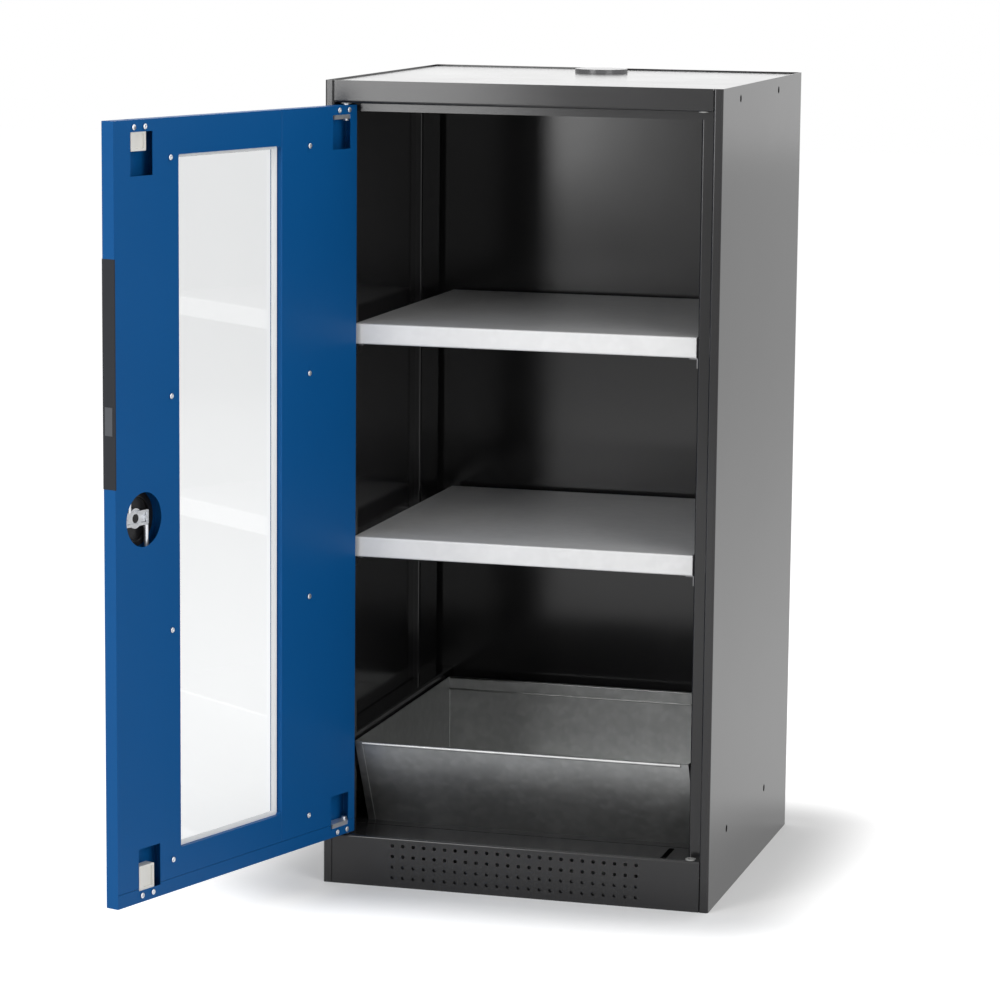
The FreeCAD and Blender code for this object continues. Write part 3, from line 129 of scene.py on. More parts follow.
class CabinetDetails(PropertyGroup):
    grain: length("Coat grain", "Spacing of the grain in the powder coat", 0.0009)
    plastic_grain: length("Plastic grain", "Spacing of the grain in moulded plastic", 0.0006)
    spangle: length("Spangle", "Size of the zinc crystals on the tray and the shelves", 0.009)
    head_share: share("Screw head share", "Radius of a screw head as a share of the plain one", 0.87)
    recess_width: length("Recess width", "Width of an arm of the cross recess", 0.0010)
    recess_reach: length("Recess reach", "Length of an arm of the cross recess", 0.0021)
    recess_depth: length("Recess depth", "Depth of the cross recess", 0.0013)
    weld_radius: length("Weld radius", "Radius of the welds in the corners of the tray", 0.0013)
    weld_ripple: length("Weld ripple", "Spacing of the ripples along a weld", 0.0030)
    tray_sheet: length("Tray sheet", "Thickness of the tray's sheet", 0.001)
    tray_hem: length("Tray hem", "Height of the rim that the welds end under", 0.020)
    hem_height: length("Hem height", "Height of the hem along the back of the tray", 0.018)
    hem_gap: length("Hem gap", "Gap between the hem and the back of the tray", 0.002)
    hem_roll: length("Hem roll", "Radius of the rolled edges of the hem", 0.0012)
    pane_cover: length("Pane cover", "How far the pane reaches behind the edge of the window", 0.010)
    tape_reveal: length("Tape reveal", "How far the tape shows inside the window", 0.002)
    bead_width: length("Bead width", "Width of the sealant on the pane", 0.005)
    bead_rise: length("Bead rise", "Height of the sealant against the edge of the window", 0.0035)


class CabinetStage(PropertyGroup):
    camera_x: length("Camera X", "Camera place to the right", 1.3291)
    camera_y: measure("LENGTH", "Camera Y", "Camera place to the back", -5.0894)
    camera_z: length("Camera Z", "Camera height", 1.3525)
    yaw: angle("Yaw", "Turn of the camera towards the left", 0.2731)
    pitch: angle("Pitch", "Tilt of the camera downwards", 0.1590)
    roll: angle("Roll", "Roll of the camera", 0.0099)
    lens: measure("CAMERA", "Lens", "Focal length in millimetres", 136.0)
    sensor: measure("CAMERA", "Sensor", "Width of the sensor in millimetres", 36.0)
    floor_size: length("Floor size", "Side of the square floor", 30.0)
    floor: colour("Floor", "Colour of the floor", (0.90, 0.90, 0.90))
    floor_gloss: share("Floor roughness", "Roughness of the floor", 0.90)
    # Near lift below far lift leaves the floor darker round the base: painted shade on top of the real shadow.
    near_lift: share("Near lift", "White added to the floor in the shadow, for the eye alone", 0.06)
    far_lift: share("Far lift", "White added to the far floor, for the eye alone", 0.60)
    mirrored_lift: share("Mirrored lift", "Share of that white that reflections show", 0.45)
    lift_start: length("Lift start", "Distance from the base where the white starts to grow", 0.03)
    lift_end: length("Lift end", "Distance from the base where the white is full", 0.21)
    ambient: share("Ambient", "Strength of the surroundings for soft light", 0.45, 4.0)
    key_light: power("Key light", "Power of the large light on the left", 48.0)
    fill_light: power("Fill light", "Power of the light on the right", 42.0)
    top_light: power("Top light", "Power of the light overhead", 30.0)
    back_light: power("Back light", "Power of the light behind, which the top mirrors", 3.0)


# Small helpers for nodes


def add(tree, kind, inputs=None, **settings):
    """Place a shader node. Each input is a value or the socket that feeds it."""
    node = tree.nodes.new("ShaderNode" + kind)
    for name, value in settings.items():
        setattr(node, name, value)
    for name, value in (inputs or {}).items():
        if isinstance(value, bpy.types.NodeSocket):
            tree.links.new(value, node.inputs[name])
        else:
            node.inputs[name].default_value = value
    return node


def sum_of(tree, first, factor, second):
    """Socket with first times factor plus second."""
    return add(tree, "Math", {0: first, 1: factor, 2: second}, operation="MULTIPLY_ADD").outputs[0]


def combine(tree, operation, first, second):
    """Socket with two numbers put together by a Math node."""
    return add(tree, "Math", {0: first, 1: second}, operation=operation).outputs[0]


def new_group(name, inputs, outputs):
    """Empty shader node group with named sockets. Returns the tree, its inputs and its output node."""
    tree = bpy.data.node_groups.new(name, "ShaderNodeTree")
    for label, (kind, default) in inputs.items():
        socket = tree.interface.new_socket(label, in_out="INPUT", socket_type="NodeSocket" + kind)
        socket.default_value = default
    for label, kind in outputs.items():
        tree.interface.new_socket(label, in_out="OUTPUT", socket_type="NodeSocket" + kind)
    entry = tree.nodes.new("NodeGroupInput")
    return tree, entry.outputs, tree.nodes.new("NodeGroupOutput")


def finish_group(tree, exit_node, sockets):
    for label, socket in sockets.items():
        tree.links.new(socket, exit_node.inputs[label])
    return tree


def place(tree):
    return add(tree, "TexCoord").outputs["Object"]


def noise(tree, where, scale, detail=2.0, roughness=0.5):
    """Cloudy mask from 0 to 1."""
    inputs = {"Vector": where, "Scale": scale, "Detail": detail, "Roughness": roughness}
    return add(tree, "TexNoise", inputs).outputs[0]


def centred(tree, mask):
    """Mask from 0 to 1 spread from -1 to 1."""
    return sum_of(tree, mask, 2.0, -1.0)


def drifted(tree, colour_socket, mask, drift):
    """Colour made a little lighter or darker where the mask is above or below a half."""
    value = sum_of(tree, centred(tree, mask), drift, 1.0)
    return add(tree, "HueSaturation", {"Color": colour_socket, "Value": value}).outputs[0]


def varied(tree, given, swing):
    """Roughness that goes up and down about its mean with a mask from -1 to 1."""
    return sum_of(tree, swing, given["Spread"], given["Roughness"])


# Scales of the patterns, in waves per metre

COAT_TONE_SCALE = 5.0
COAT_SWELL_SCALE = 90.0
CRYSTAL_WARP_SCALE = 40.0
SHEET_CLOUD_SCALE = 9.0
DRAWING_SCALES = (6.0, 320.0, 320.0)
PLATING_CLOUD_SCALE = 130.0
MOULD_CLOUD_SCALE = 25.0
WIPING_SCALE = 14.0

# How the patterns are put together

COAT_SWELL_SHARE = 1.5
CRYSTAL_WARP = (0.012, 0.012, 0.012)
CRYSTAL_SHARE = 0.4
SHEET_SWING = 1.2
SHEET_MIDDLE = 1.02
WIPING_DRIFT = 0.015
GLASS_IOR = 1.5

GRAIN_SOCKETS = {"Colour": ("Color", (0.5, 0.5, 0.5, 1)), "Drift": ("Float", 0.1),
                 "Scale": ("Float", 1000.0), "Roughness": ("Float", 0.4), "Spread": ("Float", 0.05)}
FINISH_OUTPUTS = {"Colour": "Color", "Roughness": "Float", "Height": "Float"}


def powder_group():
    """Orange-peel grain of a powder coat with a slow change of tone and gloss."""
    tree, given, out = new_group("Powder grain", GRAIN_SOCKETS, FINISH_OUTPUTS)
    where = place(tree)
    fine = noise(tree, where, given["Scale"], roughness=0.55)
    slow = noise(tree, where, COAT_TONE_SCALE, detail=3.0, roughness=0.6)
    swell = noise(tree, where, COAT_SWELL_SCALE)
    tone = drifted(tree, given["Colour"], slow, given["Drift"])
    tone = drifted(tree, tone, fine, given["Drift"])
    rough = varied(tree, given, centred(tree, slow))
    height = sum_of(tree, swell, COAT_SWELL_SHARE, fine)
    return finish_group(tree, out, {"Colour": tone, "Roughness": rough, "Height": height})


def spangle_group():
    """Zinc crystals under faint drawing marks, for galvanised sheet."""
    inputs = dict(GRAIN_SOCKETS, Marks=("Float", 0.3))
    tree, given, out = new_group("Zinc spangle", inputs, FINISH_OUTPUTS)
    where = place(tree)
    warp = add(tree, "TexNoise", {"Vector": where, "Scale": CRYSTAL_WARP_SCALE}).outputs["Color"]
    bent = add(tree, "VectorMath", {0: warp, 1: CRYSTAL_WARP, 2: where}, operation="MULTIPLY_ADD").outputs[0]
    cells = add(tree, "TexVoronoi", {"Vector": bent, "Scale": given["Scale"]}, feature="SMOOTH_F1")
    crystal = add(tree, "SeparateColor", {"Color": cells.outputs["Color"]}).outputs[0]
    long_way = add(tree, "VectorMath", {0: where, 1: DRAWING_SCALES}, operation="MULTIPLY").outputs[0]
    streak = noise(tree, long_way, 1.0, detail=4.0)
    cloud = noise(tree, where, SHEET_CLOUD_SCALE, detail=4.0, roughness=0.6)
    tone = drifted(tree, given["Colour"], crystal, given["Drift"])
    tone = drifted(tree, tone, cloud, given["Drift"])
    marked = sum_of(tree, streak, given["Marks"], sum_of(tree, crystal, CRYSTAL_SHARE, cloud))
    rough = varied(tree, given, sum_of(tree, marked, SHEET_SWING, -SHEET_MIDDLE))
    return finish_group(tree, out, {"Colour": tone, "Roughness": rough, "Height": marked})


def plating_group():
    """Bright plating with fine rubbing marks and cloudy gloss."""
    tree, given, out = new_group("Bright plating", GRAIN_SOCKETS, FINISH_OUTPUTS)
    where = place(tree)
    fine = noise(tree, where, given["Scale"], detail=3.0)
    cloud = noise(tree, where, PLATING_CLOUD_SCALE, detail=3.0, roughness=0.6)
    tone = drifted(tree, given["Colour"], cloud, given["Drift"])
    rough = varied(tree, given, centred(tree, cloud))
    return finish_group(tree, out, {"Colour": tone, "Roughness": rough, "Height": fine})


def mould_group():
    """Spark-eroded grain of a plastic moulding or a die casting."""
    tree, given, out = new_group("Moulded grain", GRAIN_SOCKETS, FINISH_OUTPUTS)
    where = place(tree)
    cells = add(tree, "TexVoronoi", {"Vector": where, "Scale": given["Scale"]}, feature="SMOOTH_F1")
    cloud = noise(tree, where, MOULD_CLOUD_SCALE, detail=3.0)
    tone = drifted(tree, given["Colour"], cloud, given["Drift"])
    rough = varied(tree, given, centred(tree, cloud))
    return finish_group(tree, out, {"Colour": tone, "Roughness": rough, "Height": cells.outputs[0]})


GROUPS = {"powder": powder_group, "spangle": spangle_group, "plating": plating_group, "mould": mould_group}
built_groups = {}


def shared_group(kind):
    """The group of that kind, built when it is first asked for."""
    if kind not in built_groups:
        built_groups[kind] = GROUPS[kind]()
    return built_groups[kind]


def new_material(name):
    """Material, its node tree and its Principled shader."""
    material = bpy.data.materials.new(name)
    material.use_nodes = True
    return material, material.node_tree, material.node_tree.nodes["Principled BSDF"]


def finish(name, kind, tint, rough, grain, drift=0.05, spread=0.05, bump=0.00003, strength=0.5, **shader):
    """Material that places a shared group and feeds it to one Principled shader."""
    material, tree, principled = new_material(name)
    given = {"Colour": (*tint, 1), "Drift": drift, "Scale": 1 / grain, "Roughness": rough, "Spread": spread}
    group = add(tree, "Group", given, node_tree=shared_group(kind))
    relief = add(tree, "Bump", {"Height": group.outputs["Height"], "Distance": bump, "Strength": strength})
    tree.links.new(group.outputs["Colour"], principled.inputs["Base Color"])
    tree.links.new(group.outputs["Roughness"], principled.inputs["Roughness"])
    tree.links.new(relief.outputs[0], principled.inputs["Normal"])
    for label, value in shader.items():
        principled.inputs[label.replace("_", " ")].default_value = value
    return material


def nodes_of(slot):
    return [entry["node"] for entry in frame["record"]["subparts"] if entry["material_slot"] == slot]


def dress(names, material):
    """Give CAD nodes a material through their own material slots."""
    for name in names:
        for slot in frame["nodes"][name].material_slots:
            slot.material = material


def new_piece(name, mesh, body, material, replaced=()):
    """Object from a finished bmesh, riding on its body."""
    data = bpy.data.meshes.new(name)
    bmesh.ops.recalc_face_normals(mesh, faces=mesh.faces)
    mesh.to_mesh(data)
    mesh.free()
    data.materials.append(material)
    piece = bpy.data.objects.new(name, data)
    bpy.context.scene.collection.objects.link(piece)
    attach(piece, body)
    if replaced:
        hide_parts(*replaced)
    return piece


# Screws with a cross recess, set where the plain ones are

HEAD_SEGMENTS = 36
DOME_LEVELS = (0.0, 0.35, 0.62, 0.82, 0.93)
DOME_FALL = 0.55
SHANK_SHARE = 0.5
RECESS_LIP = 1.18
RECESS_FLOOR_WIDTH = 0.7
RECESS_FLOOR_REACH = 0.45
RECESS_TURN = 0.6
SAME_PLACE = 1e-6
LEVEL_DIGITS = 5


def islands(name):
    """Point lists of the separate screws of a node, in the same order in each run."""
    mesh = bmesh.new()
    mesh.from_mesh(frame["nodes"][name].data)
    bmesh.ops.remove_doubles(mesh, verts=mesh.verts, dist=SAME_PLACE)
    left = dict.fromkeys(mesh.verts)
    found = []
    while left:
        stack = [left.popitem()[0]]
        points = []
        while stack:
            vertex = stack.pop()
            points.append(vertex.co.copy())
            for edge in vertex.link_edges:
                other = edge.other_vert(vertex)
                if other in left:
                    del left[other]
                    stack.append(other)
        found.append(points)
    mesh.free()
    return found


def door_inward():
    """Direction from the inner face of the door towards the shelves, in the stored pose."""
    turn = next(joint for joint in frame["joints"] if joint["name"] == "lock_turn")
    return -Vector(turn["axis"]).normalized()


def door_axes():
    """Directions across the door, away from its inner face, and up, in the stored pose."""
    up = Vector((0, 0, 1))
    inward = door_inward()
    return inward.cross(up), inward, up


def door_reach(node):
    """Lowest and highest places of a door node along the door's own directions."""
    points = [vertex.co for vertex in frame["nodes"][node].data.vertices]
    places = [[point.dot(axis) for point in points] for axis in door_axes()]
    return [min(values) for values in places], [max(values) for values in places]


def ring(mesh, radius, height, count, transform):
    corners = []
    for index in range(count):
        turn = math.tau * index / count
        corner = Vector((radius * math.cos(turn), radius * math.sin(turn), height))
        corners.append(mesh.verts.new(transform @ corner))
    return corners


def around(items):
    """Pairs of neighbours round a closed loop."""
    return list(zip(items, items[1:] + items[:1]))


def bridge(mesh, lower, upper, smooth=True):
    """Faces between two loops with the same number of corners."""
    for (first, second), (above_first, above_second) in zip(around(lower), around(upper)):
        mesh.faces.new((first, second, above_second, above_first)).smooth = smooth


def cross_outline(mesh, half, reach, height, transform):
    """Twelve corners of a cross."""
    corners = []
    for quarter in range(4):
        turn = Matrix.Rotation(math.tau * quarter / 4, 3, "Z")
        for x, y in ((half, half), (half, reach), (-half, reach)):
            corners.append(mesh.verts.new(transform @ (turn @ Vector((x, y, height)))))
    return corners


def add_screw(mesh, transform, radius, height, details):
    """Pan-head screw: domed head, cross recess and a shank that goes into the sheet."""
    shank = radius * SHANK_SHARE
    outline = [(shank, -height), (shank, 0)]
    outline += [(radius * math.sqrt(1 - level * level * DOME_FALL), height * level) for level in DOME_LEVELS]
    rings = [ring(mesh, wide, level, HEAD_SEGMENTS, transform) for wide, level in outline]
    for lower, upper in zip(rings, rings[1:]):
        bridge(mesh, lower, upper)
    mesh.faces.new(list(reversed(rings[0])))
    half = details.recess_width / 2
    reach = details.recess_reach
    mouth = cross_outline(mesh, half, reach, height, transform)
    floor = cross_outline(mesh, half * RECESS_FLOOR_WIDTH, reach * RECESS_FLOOR_REACH,
                          height - details.recess_depth, transform)
    rim = ring(mesh, reach * RECESS_LIP, height, HEAD_SEGMENTS, transform)
    bridge(mesh, rings[-1], rim)
    rim_edges = [mesh.edges.get(pair) for pair in around(rim)]
    mouth_edges = [mesh.edges.new(pair) for pair in around(mouth)]
    bmesh.ops.bridge_loops(mesh, edges=rim_edges + mouth_edges)
    bridge(mesh, mouth, floor, smooth=False)
    mesh.faces.new(floor)


def screws_in_place(name, node, details, material):
    """Detailed screws where the plain screws of a node are."""
    inward = door_inward()
    facing = inward.to_track_quat("Z", "Y").to_matrix().to_4x4()
    mesh = bmesh.new()
    for index, points in enumerate(islands(node)):
        heights = [point.dot(inward) for point in points]
        top = max(heights)
        centre = sum(points, Vector()) / len(points)
        centre += inward * (top - centre.dot(inward))
        widest = max((point - centre - inward * (point - centre).dot(inward)).length for point in points)
        head_height = sorted(set(round(top - height, LEVEL_DIGITS) for height in heights))[1]
        seat = Matrix.Translation(centre - inward * head_height)
        turn = Matrix.Rotation(RECESS_TURN * index, 4, "Z")
        add_screw(mesh, seat @ facing @ turn, widest * details.head_share, head_height, details)
    new_piece(name, mesh, "door", material, [node])


# Beads: the welds and the rolled hem of the tray, and the sealant of the window

BEAD_SIDES = 12
RIPPLE_STEPS = 4
WELD_SWELLING = 0.16
SEALANT_ROUNDING = ((0.4, 0.85), (0.8, 0.5))


def add_bead(mesh, start, end, radius, ripple, swelling=WELD_SWELLING):
    """Round bead along a straight line, with ripples where it is a weld."""
    way = end - start
    steps = max(2, int(way.length / ripple * RIPPLE_STEPS))
    facing = way.to_track_quat("Z", "Y").to_matrix().to_4x4()
    rings = []
    for step in range(steps + 1):
        swell = radius * (1 + swelling * math.sin(math.tau * step / RIPPLE_STEPS))
        centre = Matrix.Translation(start + way * (step / steps))
        rings.append(ring(mesh, swell, 0, BEAD_SIDES, centre @ facing))
    for lower, upper in zip(rings, rings[1:]):
        bridge(mesh, lower, upper)
    mesh.faces.new(list(reversed(rings[0])))
    mesh.faces.new(rings[-1])


# Operators


class Builds:
    """What the building operators share."""
    bl_options = {"REGISTER", "UNDO"}

    @property
    def finishes(self):
        return bpy.context.scene.cabinet_finishes

    @property
    def details(self):
        return bpy.context.scene.cabinet_details


class CABINET_OT_body(Builds, Operator):
    """Coat the sheets of the body and its base frame"""
    bl_idname = "cabinet.body"
    bl_label = "Body sheets"

    def execute(self, context):
        looks = self.finishes
        grain = self.details.grain
        coat = finish("anthracite_powder_coat", "powder", looks.body, looks.body_gloss, grain, drift=0.06,
                      spread=0.04, strength=0.35)
        base = finish("base_frame_coat", "powder", looks.base, looks.body_gloss, grain, drift=0.10,
                      spread=0.08)
        dress(nodes_of("body_coat"), coat)
        dress(nodes_of("frame_coat"), base)
        return {"FINISHED"}


class CABINET_OT_shelves(Builds, Operator):
    """Finish the shelves as dulled galvanised sheet"""
    bl_idname = "cabinet.shelves"
    bl_label = "Shelves"

    def execute(self, context):
        looks = self.finishes
        metal = finish("galvanised_shelf_sheet", "spangle", looks.shelf, looks.shelf_gloss,
                       self.details.spangle, drift=0.03, spread=0.06, strength=0.25,
                       Metallic=looks.shelf_metal)
        dress(nodes_of("shelf_coat"), metal)
        return {"FINISHED"}


class CABINET_OT_tray(Builds, Operator):
    """Finish the sump tray as galvanised sheet, lay its welds and round its hem"""
    bl_idname = "cabinet.tray"
    bl_label = "Sump tray"

    def execute(self, context):
        looks = self.finishes
        details = self.details
        sheet = finish("galvanised_sheet", "spangle", looks.tray, looks.tray_gloss, details.spangle,
                       drift=0.09, spread=0.10, bump=0.00004, strength=0.35, Metallic=1.0)
        dress(nodes_of("tray_steel"), sheet)
        low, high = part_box("sump_tray")
        wall = details.tray_sheet
        back = high.y - wall
        mesh = bmesh.new()
        for x in (low.x + wall, high.x - wall):
            start = Vector((x, back, low.z + wall))
            end = Vector((x, back, high.z - details.tray_hem))
            add_bead(mesh, start, end, details.weld_radius, details.weld_ripple)
        new_piece("tray_welds", mesh, "sump_tray", sheet)
        self.round_hem(sheet, low, high)
        return {"FINISHED"}

    def round_hem(self, sheet, low, high):
        """Rolled edges of the hem along the back, at its top and its lower edge."""
        details = self.details
        front = high.y - 2 * details.tray_sheet - details.hem_gap
        ends = (low.x + 2 * details.tray_sheet, high.x - 2 * details.tray_sheet)
        mesh = bmesh.new()
        for z in (high.z - details.hem_roll, high.z - details.hem_height):
            start, end = (Vector((x, front, z)) for x in ends)
            add_bead(mesh, start, end, details.hem_roll, (end - start).length, swelling=0)
        new_piece("tray_hem_edges", mesh, "sump_tray", sheet)


class CABINET_OT_door_panels(Builds, Operator):
    """Coat the sheets of the door"""
    bl_idname = "cabinet.door_panels"
    bl_label = "Door sheets"

    def execute(self, context):
        looks = self.finishes
        coat = finish("gentian_blue_powder_coat", "powder", looks.door, looks.door_gloss,
                      self.details.grain, spread=0.04, bump=0.00005, Specular_IOR_Level=0.15)
        dress(nodes_of("door_coat"), coat)
        return {"FINISHED"}


class CABINET_OT_window(Builds, Operator):
    """Glaze the window and seal it"""
    bl_idname = "cabinet.window"
    bl_label = "Window"

    def execute(self, context):
        looks = self.finishes
        grain = self.details.plastic_grain
        gasket = finish("sealing_tape", "mould", looks.gasket, looks.gasket_gloss, grain, drift=0.04)
        dress(nodes_of("gasket_light"), gasket)
        dress(nodes_of("pane"), self.glass(looks))
        sealant = finish("white_sealant", "mould", looks.sealant, looks.sealant_gloss, grain, drift=0.03)
        self.lay_bead(sealant)
        return {"FINISHED"}

    def lay_bead(self, sealant):
        """Bead of sealant in the corner between the tape, the pane and the edge of the window."""
        details = self.details
        low, high = door_reach("window_pane")
        back = high[1]
        tape = door_reach("inner_window_gasket")[1][1] - back
        rise = tape + details.bead_rise
        width = details.bead_width
        profile = [(0, tape), (0, rise)]
        profile += [(width * wide, rise * high_share) for wide, high_share in SEALANT_ROUNDING]
        profile += [(width, 0), (details.tape_reveal, 0), (details.tape_reveal, tape)]
        across, inward, up = door_axes()
        mesh = bmesh.new()
        rings = []
        for inset, height in profile:
            edge = details.pane_cover + inset
            left, right = low[0] + edge, high[0] - edge
            bottom, top = low[2] + edge, high[2] - edge
            face = inward * (back + height)
            corners = [(left, bottom), (right, bottom), (right, top), (left, top)]
            rings.append([mesh.verts.new(across * x + face + up * z) for x, z in corners])
        for lower, upper in around(rings):
            bridge(mesh, lower, upper, smooth=False)
        new_piece("window_sealing_bead", mesh, "door", sealant)

    def glass(self, looks):
        """Clear glass with faint wiping marks, which lets most light through to the floor."""
        material, tree, principled = new_material("safety_glass")
        wiped = noise(tree, place(tree), WIPING_SCALE, detail=5.0, roughness=0.7)
        tone = drifted(tree, (*looks.pane, 1), wiped, WIPING_DRIFT)
        tree.links.new(tone, principled.inputs["Base Color"])
        principled.inputs["Roughness"].default_value = 0.0
        principled.inputs["Transmission Weight"].default_value = 1.0
        principled.inputs["IOR"].default_value = GLASS_IOR
        shadow = add(tree, "LightPath").outputs["Is Shadow Ray"]
        tree.links.new(sum_of(tree, shadow, looks.pane_shadow - 1, 1.0), principled.inputs["Alpha"])
        return material


class CABINET_OT_grip(Builds, Operator):
    """Finish the moulded grip and its insert"""
    bl_idname = "cabinet.grip"
    bl_label = "Grip"

    def execute(self, context):
        looks = self.finishes
        grain = self.details.plastic_grain
        grip = finish("grip_moulding", "mould", looks.grip, looks.grip_gloss, grain, bump=0.00008,
                      Specular_IOR_Level=0.25)
        dress(nodes_of("grip_plastic"), grip)
        insert = finish("insert_moulding", "mould", looks.insert, looks.insert_gloss, grain)
        dress(nodes_of("insert_plastic"), insert)
        return {"FINISHED"}


class CABINET_OT_fittings(Builds, Operator):
    """Plate the hinges and rods, finish the guides as pale castings and the clips as dark steel, and set
    cross-recessed screws in place
    """
    bl_idname = "cabinet.fittings"
    bl_label = "Plated fittings"

    def execute(self, context):
        looks = self.finishes
        grain = self.details.plastic_grain
        plating = finish("zinc_plating", "plating", looks.zinc, looks.zinc_gloss, grain, spread=0.10,
                         bump=0.00001, strength=0.3, Metallic=0.8)
        dress(nodes_of("zinc"), plating)
        casting = finish("pale_die_casting", "mould", looks.casting, looks.casting_gloss, grain,
                         drift=0.04, Metallic=0.2)
        dress(("top_rod_guide", "bottom_rod_guide"), casting)
        clips = finish("dark_clip_steel", "plating", looks.clip, looks.zinc_gloss, grain, spread=0.10,
                       Metallic=1.0)
        dress(("upper_shelf_clips", "lower_shelf_clips"), clips)
        for name in ("door_screws", "hinge_screws", "guide_screws"):
            screws_in_place(name + "_cross_recess", name, self.details, plating)
        return {"FINISHED"}


class CABINET_OT_lock(Builds, Operator):
    """Finish the lock housing, its knob and the key cylinder"""
    bl_idname = "cabinet.lock"
    bl_label = "Lock"

    def execute(self, context):
        looks = self.finishes
        grain = self.details.plastic_grain
        black = finish("black_moulding", "mould", looks.lock, looks.lock_gloss, grain, bump=0.00002)
        dress(nodes_of("lock_black"), black)
        nickel = finish("nickel_plating", "plating", looks.key, looks.key_gloss, grain, Metallic=1.0)
        dress(nodes_of("key_metal"), nickel)
        return {"FINISHED"}


class CABINET_OT_small_plastics(Builds, Operator):
    """Finish the bushes, the exhaust collar with its cap, and the feet"""
    bl_idname = "cabinet.small_plastics"
    bl_label = "Bushes, collar and feet"

    def execute(self, context):
        looks = self.finishes
        grain = self.details.plastic_grain
        bush = finish("acetal", "mould", looks.bush, looks.bush_gloss, grain)
        dress(nodes_of("bush_plastic"), bush)
        collar = finish("collar_moulding", "mould", looks.collar, looks.collar_gloss, grain)
        dress(nodes_of("collar_plastic"), collar)
        foot = finish("foot_moulding", "mould", looks.foot, looks.foot_gloss, grain)
        dress(nodes_of("foot_plastic"), foot)
        return {"FINISHED"}


# Middle of the cabinet, which all lights face, and the place and size of each light, in metres

LIT_PLACE = Vector((0, -0.1, 0.55))
LIGHTS = {
    "key_light": (Vector((-1.70, -3.6, 1.45)), (1.5, 1.7)),
    "fill_light": (Vector((3.2, -2.6, 2.0)), (2.0, 2.0)),
    "top_light": (Vector((0.4, 0.2, 3.4)), (2.4, 2.4)),
    "back_light": (Vector((-1.3, 4.6, 1.55)), (2.2, 1.1)),
}


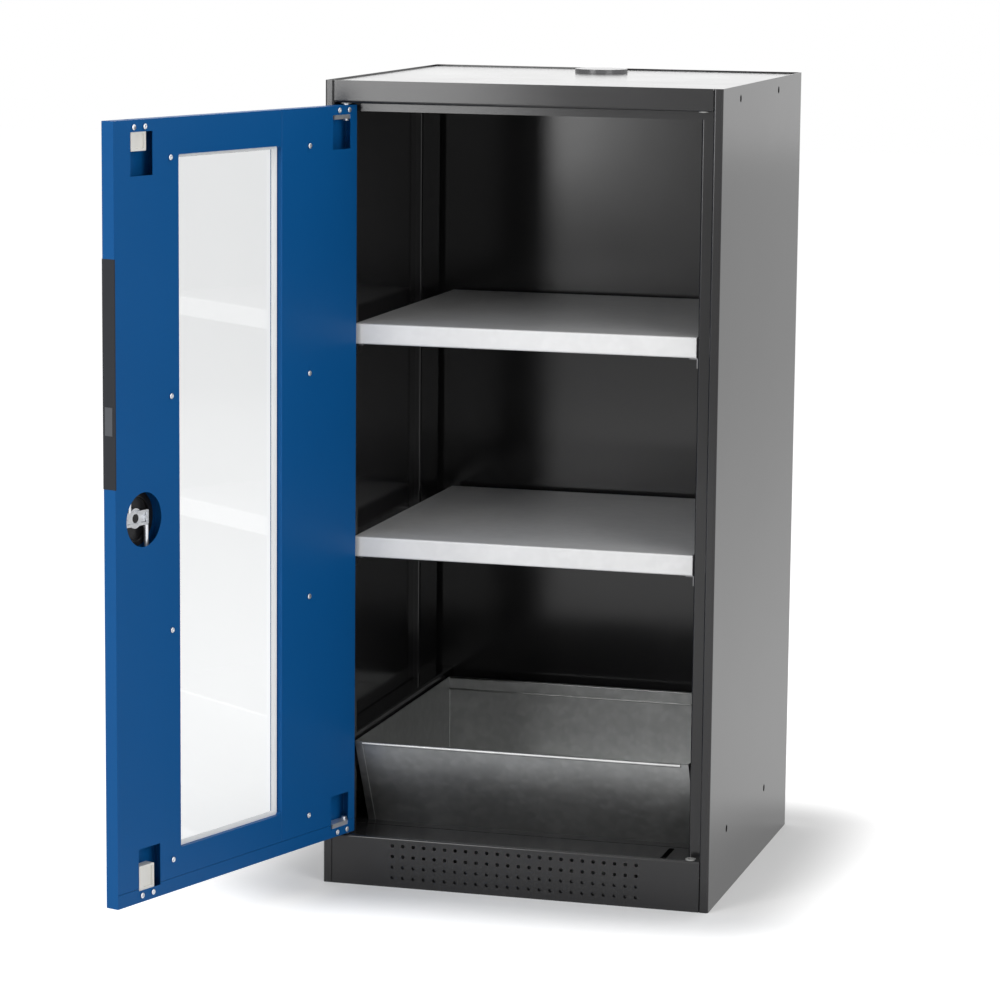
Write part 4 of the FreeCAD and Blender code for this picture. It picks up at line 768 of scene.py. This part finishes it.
class CABINET_OT_stage(Builds, Operator):
    """Lay the pale floor, and place the lights and the camera"""
    bl_idname = "cabinet.stage"
    bl_label = "Stage"

    def execute(self, context):
        stage = context.scene.cabinet_stage
        self.lay_floor(stage)
        self.light_world(context, stage)
        for name, (where, size) in LIGHTS.items():
            self.area_light(name, where, size, getattr(stage, name))
        self.place_camera(context, stage)
        return {"FINISHED"}

    def lay_floor(self, stage):
        mesh = bmesh.new()
        bmesh.ops.create_grid(mesh, x_segments=1, y_segments=1, size=stage.floor_size / 2)
        data = bpy.data.meshes.new("floor")
        mesh.to_mesh(data)
        mesh.free()
        floor = bpy.data.objects.new("floor", data)
        bpy.context.scene.collection.objects.link(floor)
        data.materials.append(self.floor_material(stage))

    def floor_material(self, stage):
        """Matt white floor that looks white to the camera and keeps the shadow the lamps cast; the white added for
        the eye is least next to the base, which paints shade round it.
        """
        material, tree, principled = new_material("pale_floor")
        principled.inputs["Base Color"].default_value = (*stage.floor, 1)
        principled.inputs["Roughness"].default_value = stage.floor_gloss
        principled.inputs["Specular IOR Level"].default_value = 0.0
        principled.inputs["Emission Color"].default_value = (1, 1, 1, 1)
        away = self.distance_from_base(tree)
        # Less added white next to the base than further out: painted shade round the base, on top of the shadow
        # the lamps cast.
        limits = {"Value": away, "From Min": stage.lift_start, "From Max": stage.lift_end,
                  "To Min": stage.near_lift, "To Max": stage.far_lift}
        amount = add(tree, "MapRange", limits, interpolation_type="SMOOTHSTEP").outputs[0]
        outside = combine(tree, "GREATER_THAN", away, 0.0)
        shown = combine(tree, "MULTIPLY", self.to_the_eye(tree, stage.mirrored_lift), outside)
        lift = combine(tree, "MULTIPLY", shown, amount)
        tree.links.new(lift, principled.inputs["Emission Strength"])
        return material

    def distance_from_base(self, tree):
        """How far a place on the floor is from the rectangle that the base frame covers."""
        folded = add(tree, "VectorMath", {0: place(tree)}, operation="ABSOLUTE").outputs[0]
        corner = (cad_base.x, cad_base.y, 0)
        past = add(tree, "VectorMath", {0: folded, 1: corner}, operation="SUBTRACT").outputs[0]
        outside = add(tree, "VectorMath", {0: past, 1: (0, 0, 0)}, operation="MAXIMUM").outputs[0]
        return add(tree, "VectorMath", {0: outside}, operation="LENGTH").outputs["Value"]

    def to_the_eye(self, tree, mirrored):
        """One for rays from the camera and through glass, and a share for reflected ones."""
        path = add(tree, "LightPath").outputs
        seen = combine(tree, "MAXIMUM", path["Is Camera Ray"], path["Is Transmission Ray"])
        return combine(tree, "MAXIMUM", seen, combine(tree, "MULTIPLY", path["Is Glossy Ray"], mirrored))

    def light_world(self, context, stage):
        """White surroundings: plain white to the eye, through glass and in reflections, softer as light."""
        world = bpy.data.worlds.new("studio")
        world.use_nodes = True
        tree = world.node_tree
        background = tree.nodes["Background"]
        background.inputs["Color"].default_value = (1, 1, 1, 1)
        shown = self.to_the_eye(tree, 1.0)
        strength = add(tree, "Mix", {"Factor": shown, "A": stage.ambient, "B": 1.0}).outputs[0]
        tree.links.new(strength, background.inputs["Strength"])
        context.scene.world = world

    def area_light(self, name, where, size, watts):
        data = bpy.data.lights.new(name, "AREA")
        data.shape = "RECTANGLE"
        data.size, data.size_y = size
        data.energy = watts
        light = bpy.data.objects.new(name, data)
        light.location = where
        light.rotation_euler = (LIT_PLACE - where).to_track_quat("-Z", "Y").to_euler()
        bpy.context.scene.collection.objects.link(light)

    def place_camera(self, context, stage):
        data = bpy.data.cameras.new("camera")
        data.sensor_width = stage.sensor
        data.lens = stage.lens
        data.clip_end = stage.floor_size
        camera = bpy.data.objects.new("camera", data)
        camera.location = (stage.camera_x, stage.camera_y, stage.camera_z)
        turn = Euler((math.pi / 2 - stage.pitch, 0, stage.yaw)).to_matrix()
        camera.rotation_euler = (turn @ Matrix.Rotation(stage.roll, 3, "Z")).to_euler()
        context.scene.collection.objects.link(camera)
        context.scene.camera = camera
        context.scene.view_settings.view_transform = "Standard"


class CABINET_PT_builder(Panel):
    """Lists the building steps and their settings"""
    bl_idname = "CABINET_PT_builder"
    bl_label = "Chemical cabinet"
    bl_space_type = "VIEW_3D"
    bl_region_type = "UI"
    bl_category = "Cabinet"

    def draw(self, context):
        layout = self.layout
        for step in STEPS:
            layout.operator(step.bl_idname)
        scene = context.scene
        for settings in (scene.cabinet_finishes, scene.cabinet_details, scene.cabinet_stage):
            box = layout.box()
            for name in settings.bl_rna.properties.keys():
                if name not in ("rna_type", "name"):
                    box.prop(settings, name)


STEPS = (CABINET_OT_body, CABINET_OT_shelves, CABINET_OT_tray, CABINET_OT_door_panels, CABINET_OT_window,
         CABINET_OT_grip, CABINET_OT_fittings, CABINET_OT_lock, CABINET_OT_small_plastics, CABINET_OT_stage)
CLASSES = (CabinetFinishes, CabinetDetails, CabinetStage, *STEPS, CABINET_PT_builder)


def register():
    for item in CLASSES:
        bpy.utils.register_class(item)
    bpy.types.Scene.cabinet_finishes = PointerProperty(type=CabinetFinishes)
    bpy.types.Scene.cabinet_details = PointerProperty(type=CabinetDetails)
    bpy.types.Scene.cabinet_stage = PointerProperty(type=CabinetStage)


def unregister():
    del bpy.types.Scene.cabinet_stage
    del bpy.types.Scene.cabinet_details
    del bpy.types.Scene.cabinet_finishes
    for item in reversed(CLASSES):
        bpy.utils.unregister_class(item)


def main():
    register()
    for step in STEPS:
        area, action = step.bl_idname.split(".")
        getattr(getattr(bpy.ops, area), action)()


if __name__ == "__main__":
    main()
